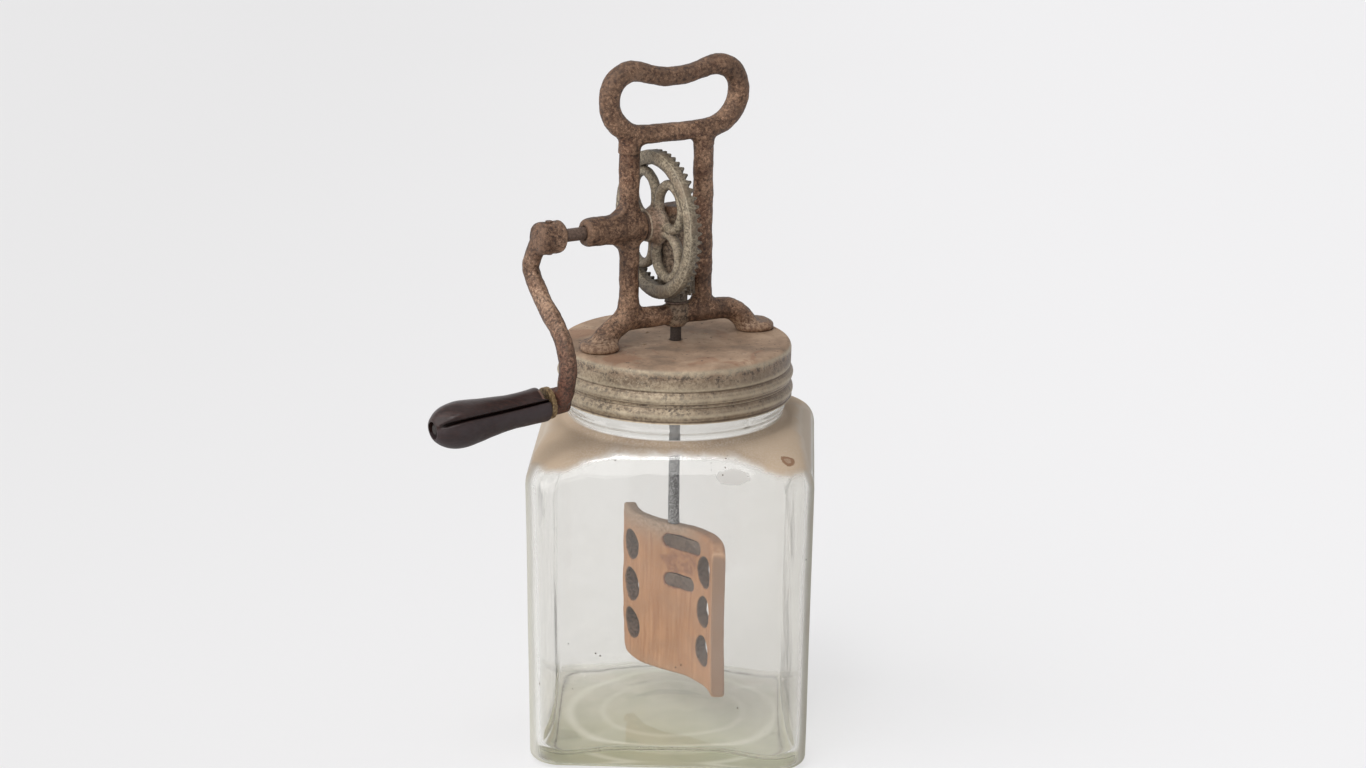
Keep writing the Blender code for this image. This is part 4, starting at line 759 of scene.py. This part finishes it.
def write_mask(mesh, name, values):
    """A value from 0 to 1 for each point, which the materials read by name."""
    made = mesh.attributes.new(name, "FLOAT", "POINT")
    made.data.foreach_set("value", np.clip(values, 0, 1).astype(np.float32))


def rise(values, low, high):
    """0 at low to 1 at high, straight between them, and level beyond."""
    return np.clip((values - low) / (high - low), 0, 1)


def bell(values, middle, width):
    """1 in the middle, falling to about a third at width from it."""
    return np.exp(-((values - middle) / width) ** 2)


def lumps(points, size, shift=(0, 0, 0)):
    """Noise at each point, in lumps about size across."""
    return np.array([field.noise(Vector(point) / size + Vector(shift)) for point in points])


def roughen(mesh, layers):
    """Moves each point along its normal by noise; layers are (size of a lump, depth)."""
    points, normals = arrays(mesh)
    for size, depth in layers:
        points += normals * (lumps(points, size) * depth)[:, None]
    write_points(mesh, points)


def edited(mesh, edit):
    """The mesh after an edit of its bmesh."""
    bm = bmesh.new()
    bm.from_mesh(mesh)
    edit(bm)
    bm.to_mesh(mesh)
    bm.free()
    return mesh


def joined(meshes):
    """One mesh from several, which may overlap."""
    def add_all(bm):
        for mesh in meshes:
            bm.from_mesh(mesh)

    return edited(bpy.data.meshes.new("joined"), add_all)


def node_mesh(node):
    """A copy of a CAD node's mesh with its corners joined."""
    return edited(frame["nodes"][node].data.copy(),
                  lambda bm: bmesh.ops.remove_doubles(bm, verts=bm.verts, dist=0.000001))


def evaluated(piece):
    """A new mesh of a piece with its modifiers."""
    graph = bpy.context.evaluated_depsgraph_get()
    return bpy.data.meshes.new_from_object(piece.evaluated_get(graph))


def skinned(mesh, voxel, smoothing, fillet=0.0, grow=0.0):
    """An even skin over a mesh: inner corners filled to a radius, edges softened."""
    carrier = added("carrier", mesh)

    def skin():
        made = carrier.modifiers.new("skin", "REMESH")
        made.mode = "VOXEL"
        made.voxel_size = voxel

    def swell(depth):
        made = carrier.modifiers.new("swell", "DISPLACE")
        made.strength = depth
        made.mid_level = 0

    skin()
    if fillet:
        swell(fillet)
        skin()
        swell(-fillet)
        skin()
    soft = carrier.modifiers.new("soft", "SMOOTH")
    soft.factor = 0.5
    soft.iterations = smoothing
    swell(grow)
    made = evaluated(carrier)
    bpy.data.objects.remove(carrier)
    return made


def carve(piece, cutters, solver):
    """Cuts meshes out of a piece, one after the other."""
    for mesh in cutters:
        cutter = added("cutter", mesh)
        boolean = piece.modifiers.new("cut", "BOOLEAN")
        boolean.operation = "DIFFERENCE"
        boolean.solver = solver
        boolean.object = cutter
        piece.data = evaluated(piece)
        piece.modifiers.clear()
        bpy.data.objects.remove(cutter)
    return piece.data


def mesh_of_rings(rings, closed=False):
    """A mesh from rings of points, each with as many points, or one point at a pole."""
    points, starts = [], []
    for ring in rings:
        starts.append(len(points))
        points += ring
    faces = []
    pairs = list(zip(range(len(rings) - 1), range(1, len(rings))))
    if closed:
        pairs.append((len(rings) - 1, 0))
    for one, two in pairs:
        a, b = len(rings[one]), len(rings[two])
        for step in range(max(a, b)):
            corners = [starts[one] + step % a, starts[one] + (step + 1) % a,
                       starts[two] + (step + 1) % b, starts[two] + step % b]
            faces.append(list(dict.fromkeys(corners)))
    mesh = bpy.data.meshes.new("piece")
    mesh.from_pydata(points, [], faces)
    return edited(mesh, lambda bm: bmesh.ops.recalc_face_normals(bm, faces=bm.faces))


def turned_solid(profile, matrix, sides=48):
    """A solid of revolution about the matrix's Z, from (radius, height) points."""
    rings = []
    for radius, height in profile:
        rings.append([(radius * math.cos(math.tau * s / sides),
                       radius * math.sin(math.tau * s / sides), height)
                      for s in range(sides if radius else 1)])
    mesh = mesh_of_rings(rings, closed=profile[0][0] > 0)
    mesh.transform(matrix)
    return mesh


def round_bar(radius, low, high, matrix, sides=48):
    return turned_solid([(0, low), (radius, low), (radius, high), (0, high)], matrix, sides)


def oval_ring(centre_radius, half_width, half_depth, middle, matrix):
    """A ring with an oval section."""
    profile = [(centre_radius + half_width * math.cos(math.tau * step / 16),
                middle + half_depth * math.sin(math.tau * step / 16)) for step in range(16)]
    return turned_solid(profile, matrix, 72)


def smooth_line(points, steps):
    """A smooth curve through points in a plane, with so many steps between each two."""
    points = [Vector(point) for point in points]
    ends = [2 * points[0] - points[1]] + points + [2 * points[-1] - points[-2]]
    line = []
    for index in range(len(points) - 1):
        a, b, c, d = ends[index:index + 4]
        for step in range(steps):
            t = step / steps
            line.append(0.5 * (2 * b + (c - a) * t + (2 * a - 5 * b + 4 * c - d) * t ** 2
                               + (3 * b - a - 3 * c + d) * t ** 3))
    return [tuple(point) for point in line + [points[-1]]]


def wrapped(angle):
    """An angle brought between minus pi and pi."""
    return (angle + math.pi) % math.tau - math.pi


# Glass jar

def jar_angles():
    """The angles of a jar ring's points, closer together round its corners."""
    edge = math.atan2(JAR_HALF_WIDTH - JAR_CORNER, JAR_HALF_WIDTH)
    angles = []
    for side in range(4):
        middle = math.pi / 2 * side
        angles += [middle - edge + 2 * edge * step / SIDE_STEPS for step in range(SIDE_STEPS)]
        corner = math.pi / 2 - 2 * edge
        angles += [middle + edge + corner * step / CORNER_STEPS for step in range(CORNER_STEPS)]
    return angles


ANGLES = jar_angles()


def square_reach(angle, half, corner):
    """How far a square with rounded corners reaches at an angle."""
    across, along = sorted((abs(math.cos(angle)), abs(math.sin(angle))))
    flat = half - corner
    if along * flat >= across * half:
        return half / along
    reach = flat * (along + across)
    return reach + math.sqrt(max(0.0, reach ** 2 - 2 * flat ** 2 + corner ** 2))


def jar_ring(half, corner, height, grow=None):
    ring = []
    for angle in ANGLES:
        reach = square_reach(angle, half, corner)
        if grow:
            reach += grow(angle, height)
        ring.append((reach * math.cos(angle), reach * math.sin(angle), height))
    return ring


def round_ring(radius, height, grow=None):
    return jar_ring(radius, radius, height, grow)


def square_ring(inset, height, corner_inset=None):
    lean = JAR_TAPER * max(0.0, 1 - height / SHOULDER_START)
    corner = JAR_CORNER - (inset if corner_inset is None else corner_inset) * 0.5
    return jar_ring(JAR_HALF_WIDTH - lean - inset, corner, height)


def neck_growth(angle, height):
    """The neck's moulded bead, its small lug and its thread."""
    up = height - NECK_ROOT
    bead = BEAD_DEPTH * bell(up, BEAD_HEIGHT, BEAD_WIDTH)
    along = wrapped(angle - LUG_ANGLE) * NECK_RADIUS
    lug = LUG_DEPTH * bell(along, 0, LUG_WIDTH) * bell(up, LUG_HEIGHT, LUG_WIDTH)
    climb = up - THREAD_LOW
    thread = 0.0
    if 0 <= climb <= THREAD_HIGH - THREAD_LOW:
        offset = (climb - THREAD_PITCH * angle / math.tau) / THREAD_PITCH
        away = abs(offset - round(offset)) * THREAD_PITCH
        swell = max(0.0, 1 - away / THREAD_HALF_WIDTH)
        thread = THREAD_DEPTH * math.sin(swell * math.pi / 2)
    return bead + lug + thread


def shoulder(inset, steps=18):
    """Rings from the square wall to the round neck, on the outside or the inside."""
    full = (NECK_INNER if inset else NECK_RADIUS) + NECK_FLARE
    wall = JAR_HALF_WIDTH - inset
    corner = JAR_CORNER - inset * 0.5
    rings = []
    for step in range(steps + 1):
        angle = math.pi / 2 * step / steps
        blended = 1 - math.cos(angle)
        rings.append(jar_ring(wall - (wall - full) * blended ** SHOULDER_BLEND,
                              corner + (full - corner) * blended,
                              SHOULDER_START - inset * 0.5 + SHOULDER_RISE * math.sin(angle)))
    return rings


def shares(steps):
    """Shares of a whole in even steps, ending with the whole."""
    return [step / steps for step in range(1, steps + 1)]


def quarter(steps):
    """The angles between 0 and a quarter turn."""
    return [math.pi / 2 * share for share in shares(steps)[:-1]]


def jar_outside():
    """Rings from the middle of the underside up to the lip and round it."""
    rings = [[(0, 0, KICK_RISE)]]
    for share in shares(14):
        kick = KICK_RISE * (1 - share ** 2) ** 1.5
        ripple = 0.0002 * math.cos(share * 19) * (1 - share)
        rings.append(round_ring(KICK_RADIUS * share, kick + ripple + 0.0005 * (1 - share)))
    for share in shares(12):
        half = KICK_RADIUS + (JAR_HALF_WIDTH - JAR_TAPER - HEEL_INSET - KICK_RADIUS) * share
        corner = JAR_CORNER - HEEL_INSET * 0.5
        rings.append(jar_ring(half, KICK_RADIUS + (corner - KICK_RADIUS) * share, 0))
    for angle in quarter(6):
        rings.append(square_ring(HEEL_INSET * (1 - math.sin(angle)),
                                 HEEL_RISE * (1 - math.cos(angle))))
    rings += [square_ring(0, HEEL_RISE + (SHOULDER_START - HEEL_RISE) * step / 14)
              for step in range(14)]
    rings += shoulder(0)
    rings += [round_ring(NECK_RADIUS + NECK_FLARE * (1 - math.sin(share * math.pi / 2)),
                         SHOULDER_START + SHOULDER_RISE + NECK_FLARE * share)
              for share in shares(4)]
    top = JAR_TOP - RIM
    rings += [round_ring(NECK_RADIUS, NECK_ROOT + (top - NECK_ROOT) * share, neck_growth)
              for share in shares(70)]
    middle = (NECK_RADIUS + NECK_INNER) / 2
    half = (NECK_RADIUS - NECK_INNER) / 2
    rings += [round_ring(middle + half * math.cos(math.pi * share),
                         top + RIM * math.sin(math.pi * share)) for share in shares(10)[:-1]]
    return rings


def jar_inside():
    """Rings from the lip down to the middle of the floor."""
    top = JAR_TOP - RIM
    start = SHOULDER_START - JAR_WALL * 0.5
    low = JAR_FLOOR + FLOOR_FILLET
    rings = [round_ring(NECK_INNER, top - (top - NECK_ROOT) * step / 6) for step in range(7)]
    for share in (0.75, 0.5, 0.25):
        rings.append(round_ring(NECK_INNER + NECK_FLARE * (1 - math.sin(share * math.pi / 2)),
                                start + SHOULDER_RISE
                                + (NECK_ROOT - start - SHOULDER_RISE) * share))
    rings += reversed(shoulder(JAR_WALL))
    rings += [square_ring(JAR_WALL, start + (low - start) * share) for share in shares(14)]
    for angle in quarter(8):
        rings.append(square_ring(JAR_WALL + FLOOR_FILLET * (1 - math.cos(angle)),
                                 JAR_FLOOR + FLOOR_FILLET * (1 - math.sin(angle)), JAR_WALL))
    floor = JAR_HALF_WIDTH - JAR_TAPER - JAR_WALL - FLOOR_FILLET
    for step in range(12):
        share = 1 - step / 12
        size = floor * share
        corner = (JAR_CORNER - JAR_WALL * 0.5) * share
        radius = min(size, corner + (size - corner) * min(1.0, step / 6))
        rings.append(jar_ring(size, radius, JAR_FLOOR + FLOOR_CROWN * (1 - share ** 2)))
    return rings + [[(0, 0, JAR_FLOOR + FLOOR_CROWN)]]


def jar_glass():
    outer, inner = jar_outside(), jar_inside()
    mesh = mesh_of_rings(outer + inner)
    points, normals = arrays(mesh)
    inside = np.arange(len(points)) >= sum(len(ring) for ring in outer)
    # Gentle waves in both faces, and a floor that runs lower into its corners
    height = points[:, 2]
    waves = np.where(inside, WAVE_INSIDE * lumps(points, WAVE_SIZE, WAVE_SHIFT) - WALL_THINNED,
                     WAVE_OUTSIDE * lumps(points, WAVE_SIZE))
    clear = rise(height, 0.155, 0.135) * rise(height, 0, 0.01)
    points += normals * (waves * clear)[:, None]
    near = rise(np.minimum(abs(points[:, 0]), abs(points[:, 1])), 0.020, 0.055)
    low = rise(points[:, 2], 0.022, 0.010)
    points[:, 2] -= FLOOR_SAG * inside * near ** 2 * (3 - 2 * near) * low
    write_points(mesh, points)
    x, y, height = points.T
    spread = np.hypot(np.maximum(abs(x) - GRIME_REACH + GRIME_CORNER, 0),
                      np.maximum(abs(y) - GRIME_REACH + GRIME_CORNER, 0))
    limit = np.where(np.hypot(x, y) < KICK_RADIUS, UNDER_KICK_HEIGHT, UNDER_HEIGHT)
    under = rise(height - limit, 0, -UNDER_SOFT) * ~inside
    write_mask(mesh, "grime", under * bell(spread, GRIME_CORNER, GRIME_WIDTH))
    # The underside's mask for its painted stand-in for the light seen through the base, weaker at
    # the back.
    write_mask(mesh, "under", under * (1 - 0.55 * rise(y, 0.048, 0.060)))
    write_mask(mesh, "inside", inside)
    new_piece("jar_glass", mesh, clear_glass("old_glass"), "jar", "clear_glass", "glass_jar")


# Screw lid

def lid_profile():
    """The lid's outer line from its shaft hole to its lower edge."""
    dish = LID_TOP - LID_DISH_DEPTH
    line = [(radius, dish) for radius in (LID_HOLE, 0.008, 0.016, 0.025, LID_DISH - 0.001)]
    line += [(LID_DISH + LID_DISH_SLOPE / 2, (dish + LID_TOP) / 2),
             (LID_DISH + LID_DISH_SLOPE + 0.001, LID_TOP), (0.046, LID_TOP)]
    flat = LID_BAND - LID_EDGE
    for step in range(8):
        angle = math.pi / 2 * (1 - step / 8)
        line.append((flat + LID_EDGE * math.cos(angle),
                     LID_TOP - LID_EDGE + LID_EDGE * math.sin(angle)))
    wall = [(LID_BAND, LID_TOP - LID_EDGE - 0.0008)]
    for groove, bead in zip(LID_GROOVE_DROPS, LID_BEAD_DROPS):
        middle = (LID_BAND + LID_BEAD) / 2
        wall += [(LID_BAND, LID_TOP - groove + LID_BEAD_HALF),
                 (LID_GROOVE + 0.0001, LID_TOP - groove + 0.0004), (LID_GROOVE, LID_TOP - groove),
                 (middle, LID_TOP - bead + LID_BEAD_HALF),
                 (LID_BEAD, LID_TOP - bead), (middle, LID_TOP - bead - LID_BEAD_HALF)]
    wall += [(LID_BAND, LID_TOP - LID_SKIRT + 0.0009), (LID_BAND + 0.0004, LID_TOP - LID_SKIRT)]
    return line + smooth_line(wall, 4)


def lid_tin():
    """The pressed lid with its vent and rivet holes, dented a little."""
    outer = lid_profile()
    inner = []
    for radius, height in reversed(outer):
        if radius > LID_BAND - LID_EDGE:
            inner.append((radius - LID_SHEET, min(height, LID_UNDERSIDE)))
        else:
            inner.append((radius, height - LID_SHEET))
    mesh = turned_solid(outer + inner, UPRIGHT, 144)
    piece = new_piece("lid_tin", mesh, tarnished_tin("tin"), "lid", "aged_tin", "screw_lid")
    holes = [(VENT_RING * math.cos(math.radians(a)), VENT_RING * math.sin(math.radians(a)),
              VENT_RADIUS) for a in VENT_ANGLES]
    holes += [(side * FOOT_REACH, -FOOT_OFFSET, RIVET_HOLE) for side in (-1, 1)]
    turned = Matrix.Rotation(LID_TURN, 4, "Z")
    mesh = carve(piece, [round_bar(radius, LID_UNDERSIDE - CUTTER_PAST, LID_TOP + CUTTER_PAST,
                                   Matrix.Translation(turned @ Vector((x, y, 0))), 16)
                         for x, y, radius in holes], "EXACT")
    points, normals = arrays(mesh)
    far = rise(np.hypot(points[:, 0], points[:, 1]), 0.006, 0.016)
    dents = lumps(points, 0.013) + 0.6 * lumps(points, 0.005)
    # Both faces of the sheet move the same way: upwards on top, outwards round the wall
    on_top = points[:, 2] > LID_TOP - 0.002
    outward = np.sign((points[:, :2] * normals[:, :2]).sum(1))
    ways = normals * np.where(outward > 0, 1, -1)[:, None]
    ways[:, 2] = 0
    ways[on_top] = (0, 0, 1)
    points += ways * (dents * np.where(on_top, DENT_TOP, DENT_WALL) * far)[:, None]
    write_points(mesh, points)
    mesh.shade_smooth()
    mesh.set_sharp_from_angle(angle=math.radians(50))


# Paddle, grip and gear

def unrolled(points):
    """Each paddle point's place along the flat board and its height."""
    turned = points @ np.array(Matrix.Rotation(-PADDLE_TURN, 3, "Z")).T
    x, y = turned[:, 0], turned[:, 1]
    right = PADDLE_CURL * np.arctan2(x, y + PADDLE_CURL)
    left = -PADDLE_CURL * np.arctan2(-x, PADDLE_CURL - y)
    return np.where(x > 0, right, left), points[:, 2]


def paddle_piece():
    """The board, with masks for its holes, worn places, stains, ends and edges."""
    mesh = skinned(node_mesh("paddle"), voxel=0.00055, smoothing=5, grow=0.0001)
    roughen(mesh, ((0.012, 0.00025), (0.003, 0.00006)))
    points, _ = arrays(mesh)
    along, height = unrolled(points)
    away = np.full(len(points), 1.0)
    for side in (-1, 1):
        for level in PADDLE_HOLE_HEIGHTS:
            away = np.minimum(away, np.hypot(along - side * PADDLE_HOLE_X, height - level))
    write_mask(mesh, "hole", rise(away, PADDLE_HOLE_RADIUS + 0.0006, PADDLE_HOLE_RADIUS))
    slots = np.full(len(points), 1.0)
    for left, right, level in PADDLE_SLOTS:
        inside = np.clip(along, left + PADDLE_SLOT_HALF, right - PADDLE_SLOT_HALF)
        slots = np.minimum(slots, np.hypot(along - inside, height - level))
    shift = lumps(points, 0.007) * 0.006
    box = 1.0
    for values, (low, high) in ((along + shift, PADDLE_WORN[:2]), (height - shift, PADDLE_WORN[2:])):
        box = box * (rise(values, low, low + PADDLE_WORN_SOFT)
                     * rise(values, high, high - PADDLE_WORN_SOFT))
    write_mask(mesh, "worn", np.maximum(box * 0.8, rise(slots, 0.0046, 0.0036)))
    top = rise(height, 0.0925, 0.1045) * rise(along, 0.026, 0.006)
    low = rise(height, 0.034, 0.026)
    write_mask(mesh, "stain", np.maximum(top * 0.85, low * 0.25))
    past = abs(along) - PADDLE_HALF
    write_mask(mesh, "ends", (past + 0.0007) / 0.0005 * 0.7)
    write_mask(mesh, "arris", 0.6 * bell(past, -0.0009, 0.0004))
    new_piece("paddle_board", mesh, paddle_wood("paddle_wood"), "dasher", "pale_paddle_wood",
              "paddle")


def grip_piece(camera):
    """The turned grip, whose long crack faces the camera, with its upper half chipped."""
    joint = joints["grip_spin"]
    axis = Vector(joint["axis"]).normalized()
    matrix = Matrix.Translation(joint["pos_m"]) @ axis.to_track_quat("Z", "Y").to_matrix().to_4x4()
    back = matrix.to_3x3().inverted()
    middle = matrix @ Vector((0, 0, GRIP_START + GRIP_LENGTH / 2))
    towards = back @ (camera.matrix_world.translation - middle)
    above = back @ Vector((0, 0, 1))
    face = math.atan2(towards.y, towards.x)
    turn = wrapped(math.atan2(above.y, above.x) - face)
    crack_angle = face + math.copysign(CRACK_TURN, turn)
    outer = smooth_line([(GRIP_NECK + GRIP_SWELL * swell, GRIP_START + GRIP_LENGTH * run)
                         for run, swell in zip(GRIP_RUNS, GRIP_SWELLS)], 7)
    end = GRIP_START + GRIP_LENGTH
    seat = end - GRIP_SEAT
    inner = [(GRIP_HEAD, end), (GRIP_HEAD, seat), (GRIP_BORE, seat), (GRIP_BORE, GRIP_START)]
    rings, cracks, worn, lower = [], [], [], []
    for radius, height in outer + inner:
        run = (height - GRIP_START) / GRIP_LENGTH
        outside = radius > GRIP_HEAD + 0.0004
        ring = []
        for side in range(GRIP_SIDES):
            angle = math.tau * side / GRIP_SIDES
            away = wrapped(angle - crack_angle)
            upper = math.copysign(1, away) == math.copysign(1, turn)
            near = bell(away * radius, 0, 0.00042 + 0.00038 * run)
            reach = radius - CRACK_DEPTH * near * outside * rise(run, CRACK_END, CRACK_END - 0.06)
            if outside and abs(away) < 1.9:
                reach += CRACK_LIP * bell(abs(away), 0.22, 0.2) * (1 if upper else -0.6)
            chip = 0.0
            if upper and run < CHIP_RUN and 0.05 < abs(away) < 2.6:
                chip = CHIP_DEPTH * (1 - run / CHIP_RUN) * min(1.0, (abs(away) - 0.05) / 0.12)
            ring.append((reach * math.cos(angle), reach * math.sin(angle), height + chip))
            cracks.append(near * outside * rise(run, CRACK_END, CRACK_END - 0.05))
            lower.append(float(not upper) * min(1.0, abs(away) / 0.25))
            worn.append(0.75 * (upper and outside and run < 0.035 and 0.15 < abs(away) < 0.8))
        rings.append(ring)
    mesh = mesh_of_rings(rings, closed=True)
    mesh.transform(matrix)
    write_mask(mesh, "crack", np.array(cracks) ** 0.7)
    write_mask(mesh, "worn", np.array(worn))
    write_mask(mesh, "lower", np.array(lower))
    roughen(mesh, ((0.016, 0.00035), (0.005, 0.00008)))
    new_piece("grip_turning", mesh, varnished_wood("grip_wood"), "grip", "dark_grip_wood",
              "wooden_grip")
    mesh.set_sharp_from_angle(angle=math.radians(60))


def gear_piece():
    """The crown gear with its web cast as round bars, a coned hub and a domed rim."""
    meshes = [node_mesh("drive_gear")]
    for index in range(WEB_RINGS):
        angle = WEB_TURN + math.tau * index / WEB_RINGS
        spot = Matrix.Translation((WEB_REACH * math.cos(angle), WEB_REACH * math.sin(angle), 0))
        meshes.append(oval_ring(WEB_BAR_REACH, *WEB_BAR, WEB_MIDDLE, ALONG_AXLE @ spot))
    meshes.append(oval_ring(CROWN_RADIUS, *CROWN_BAR, CROWN_FACE + 0.0008, ALONG_AXLE))
    hub = ((0.0055, -0.0040), (0.0078, -0.0036), (0.0084, -0.0010), (0.0100, 0.0016),
           (0.0098, 0.0032), (0.0055, 0.0040))
    meshes.append(turned_solid([(radius, CROWN_FACE + rest) for radius, rest in hub], ALONG_AXLE))
    mesh = skinned(joined(meshes), voxel=0.00032, smoothing=2, grow=0.0001)
    roughen(mesh, ((0.004, 0.00016), (0.0015, 0.00007)))
    points, _ = arrays(mesh)
    away = points - np.array(AXLE_PLACE)
    along = away @ np.array(AXLE)
    radial = np.linalg.norm(away - np.outer(along, AXLE), axis=1)
    past = along - CROWN_FACE
    write_mask(mesh, "hub", rise(radial, 0.0125, 0.0085))
    teeth = rise(past, 0.0030, 0.0052) * (radial > 0.028)
    # The same mask darkens the gear towards its bottom and deep in its crown.
    low = rise(points[:, 2], 0.2360, 0.2260) * 0.80
    deep = rise(past, 0.0006, 0.0028) * (radial > 0.0125) * 0.6
    write_mask(mesh, "teeth", np.maximum(np.maximum(teeth, low), deep))
    new_piece("gear_casting", mesh, dusty_gear("gear_iron"), "crank", "dusty_gear_iron",
              "drive_gear")


# Frame and crank

def frame_piece():
    """The cast frame with filled inner corners, fuller lobes on its loop and clean bores."""
    mesh = skinned(node_mesh("cast_frame"), voxel=0.00065, smoothing=6, fillet=0.0028,
                   grow=0.00045)
    points, normals = arrays(mesh)
    along = points[:, 0] * math.cos(LID_TURN) + points[:, 1] * math.sin(LID_TURN)
    lobe = rise(abs(along - LOOP_MIDDLE), 0.014, 0.026) * (points[:, 2] > LOOP_LOW)
    write_points(mesh, points + normals * (LOOP_LOBE * lobe)[:, None])
    roughen(mesh, ((0.009, 0.00045), (0.0028, 0.00018), (0.0012, 0.00008)))
    carrier = added("bored", mesh)
    mesh = carve(carrier, (
        round_bar(AXLE_BORE, BEARING_END - BORE_PAST, AXLE_BORE_END, ALONG_AXLE),
        round_bar(SHAFT_BORE, SHAFT_BORE_LOW - BORE_PAST, SHAFT_BORE_HIGH, UPRIGHT)), "MANIFOLD")
    bpy.data.objects.remove(carrier)
    iron = rusty_iron("frame_iron", IRON_DARK, IRON_MID, IRON_LIGHT, IRON_RED, dusty=True)
    new_piece("frame_casting", mesh, iron, "lid", "rusty_cast_iron", "cast_frame")


def crank_piece(iron):
    """The cast crank arm, with the axle's end domed over its hub."""
    dome = ((0, -0.0009), (0.0028, -0.0007), (0.0043, -0.0001), (0.0048, 0.0008), (0, 0.0012))
    axle_dome = turned_solid([(radius, HUB_END + rest) for radius, rest in dome], ALONG_AXLE)
    mesh = skinned(joined((node_mesh("crank_arm"), axle_dome)), voxel=0.0005, smoothing=3,
                   fillet=0.0011, grow=0.0005)
    roughen(mesh, ((0.008, 0.00045), (0.0025, 0.00016), (0.0012, 0.00007)))
    new_piece("crank_casting", mesh, iron, "crank", "rusty_cast_iron", "crank_arm")


# Camera, light and floor

def add_camera():
    data = bpy.data.cameras.new("camera")
    data.sensor_width = SENSOR_MM
    data.lens = FOCAL_PX * SENSOR_MM / PHOTO_WIDTH_PX
    camera = added("camera", data)
    camera.matrix_world = (
        Matrix.Rotation(CAMERA_YAW, 4, "Z") @ Matrix.Translation(CAMERA_PLACE)
        @ Matrix.Rotation(math.pi / 2 - CAMERA_PITCH, 4, "X")
        @ Matrix.Rotation(CAMERA_ROLL, 4, "Z"))
    bpy.context.scene.camera = camera
    bpy.context.view_layer.update()
    return camera


def add_light(name, kind, energy, aim):
    """A light that shines along a direction."""
    data = bpy.data.lights.new(name, kind)
    data.energy = energy
    light = added(name, data)
    light.rotation_euler = aim.to_track_quat("-Z", "Y").to_euler()
    return light


def add_lights():
    """A broad sun from one side for even soft light, and a lamp overhead."""
    flat = math.cos(SUN_HEIGHT)
    aim = Vector((flat * math.sin(SUN_AZIMUTH), flat * math.cos(SUN_AZIMUTH),
                  -math.sin(SUN_HEIGHT)))
    add_light("sky_light", "SUN", SUN_STRENGTH, aim).data.angle = SUN_SPREAD
    lamp = add_light("overhead", "AREA", LAMP_POWER, Vector(LAMP_AIM) - Vector(LAMP_PLACE))
    lamp.data.shape = "DISK"
    lamp.data.size = LAMP_SIZE
    lamp.location = LAMP_PLACE


def add_world():
    """A studio that lights the scene less than it shows."""
    world = bpy.data.worlds.new("studio")
    bpy.context.scene.world = world
    world.use_nodes = True
    tree = world.node_tree
    tree.nodes.clear()
    light = make(tree, "Background", Color=(1, 1, 1, 1), Strength=WORLD_LIGHT)
    shown = make(tree, "Background", Color=rgba(WORLD_SHOWN), Strength=1.0)
    both = make(tree, "MixShader", i0=is_ray(tree, *EYE_RAYS), i1=light, i2=shown)
    fill(tree.nodes.new("ShaderNodeOutputWorld"), Surface=both)


def add_floor():
    """A pale floor that keeps a soft part of the shadow that falls on it, with painted shade that
    darkens it towards the left.
    """
    look = Look("pale_floor")
    across = look.place.axis("X") + clouds(look.place, 0.9, 3, 0.5) * 0.25
    # Painted shade: the floor darker towards the left.
    colour = ramp(between(across, -0.45, 0.55), (0.0, FLOOR_LEFT), (1.0, FLOOR_RIGHT))
    look.mix(is_ray(look.tree, *EYE_RAYS) * FLOOR_GLOW_SHARE,
             make(look.tree, "Emission", Color=colour, Strength=FLOOR_GLOW))
    mesh = bpy.data.meshes.new("floor")
    mesh.from_pydata([(x * FLOOR_REACH, y * FLOOR_REACH, FLOOR_LEVEL)
                      for x, y in ((-1, -1), (1, -1), (1, 1), (-1, 1))], [], [(0, 1, 2, 3)])
    mesh.materials.append(look.done(Base_Color=colour, Roughness=0.9, Specular_IOR_Level=0.1))
    floor = added("floor", mesh)


# The whole scene

camera = add_camera()
add_world()
add_floor()
add_lights()

arm_iron = rusty_iron("arm_iron", IRON_DARK, (0.175, 0.098, 0.059), (0.36, 0.230, 0.152),
                      IRON_RED, (0.192, 0.236, (0.115, 0.036, 0.023)))
frame_piece()
crank_piece(arm_iron)
gear_piece()
jar_glass()
lid_tin()
paddle_piece()
grip_piece(camera)

CAD_LOOKS = {
    pitted_steel("worn_steel", (0.050, 0.030, 0.022), (0.17, 0.110, 0.080)): (
        "foot_rivet_left", "foot_rivet_right", "rivet_burr_left", "rivet_burr_right",
        "gear_washer", "crank_axle", "gear_pin", "thrust_washer"),
    pitted_steel("key_iron", (0.055, 0.033, 0.024), (0.16, 0.105, 0.075), 0.0015, 0.05, 0.7): (
        "paddle_key_upper", "paddle_key_lower"),
    pitted_steel("black_steel", (0.008, 0.006, 0.005), (0.030, 0.021, 0.018)): (
        "handle_spindle",),
    arm_iron: ("crank_pin",),
    shaft_steel("shaft_steel"): ("dasher_shaft",),
    rusty_iron("pinion_iron", (0.025, 0.017, 0.012), (0.085, 0.066, 0.048),
               (0.21, 0.17, 0.125), (0.06, 0.04, 0.027)): ("pinion", "pinion_pin"),
    dull_brass("brass"): ("grip_ferrule",),
    old_rubber("rubber"): ("lid_seal",),
}
for look, names in CAD_LOOKS.items():
    for name in names:
        for slot in frame["nodes"][name].material_slots:
            slot.material = look

bpy.context.scene.view_settings.view_transform = "Standard"
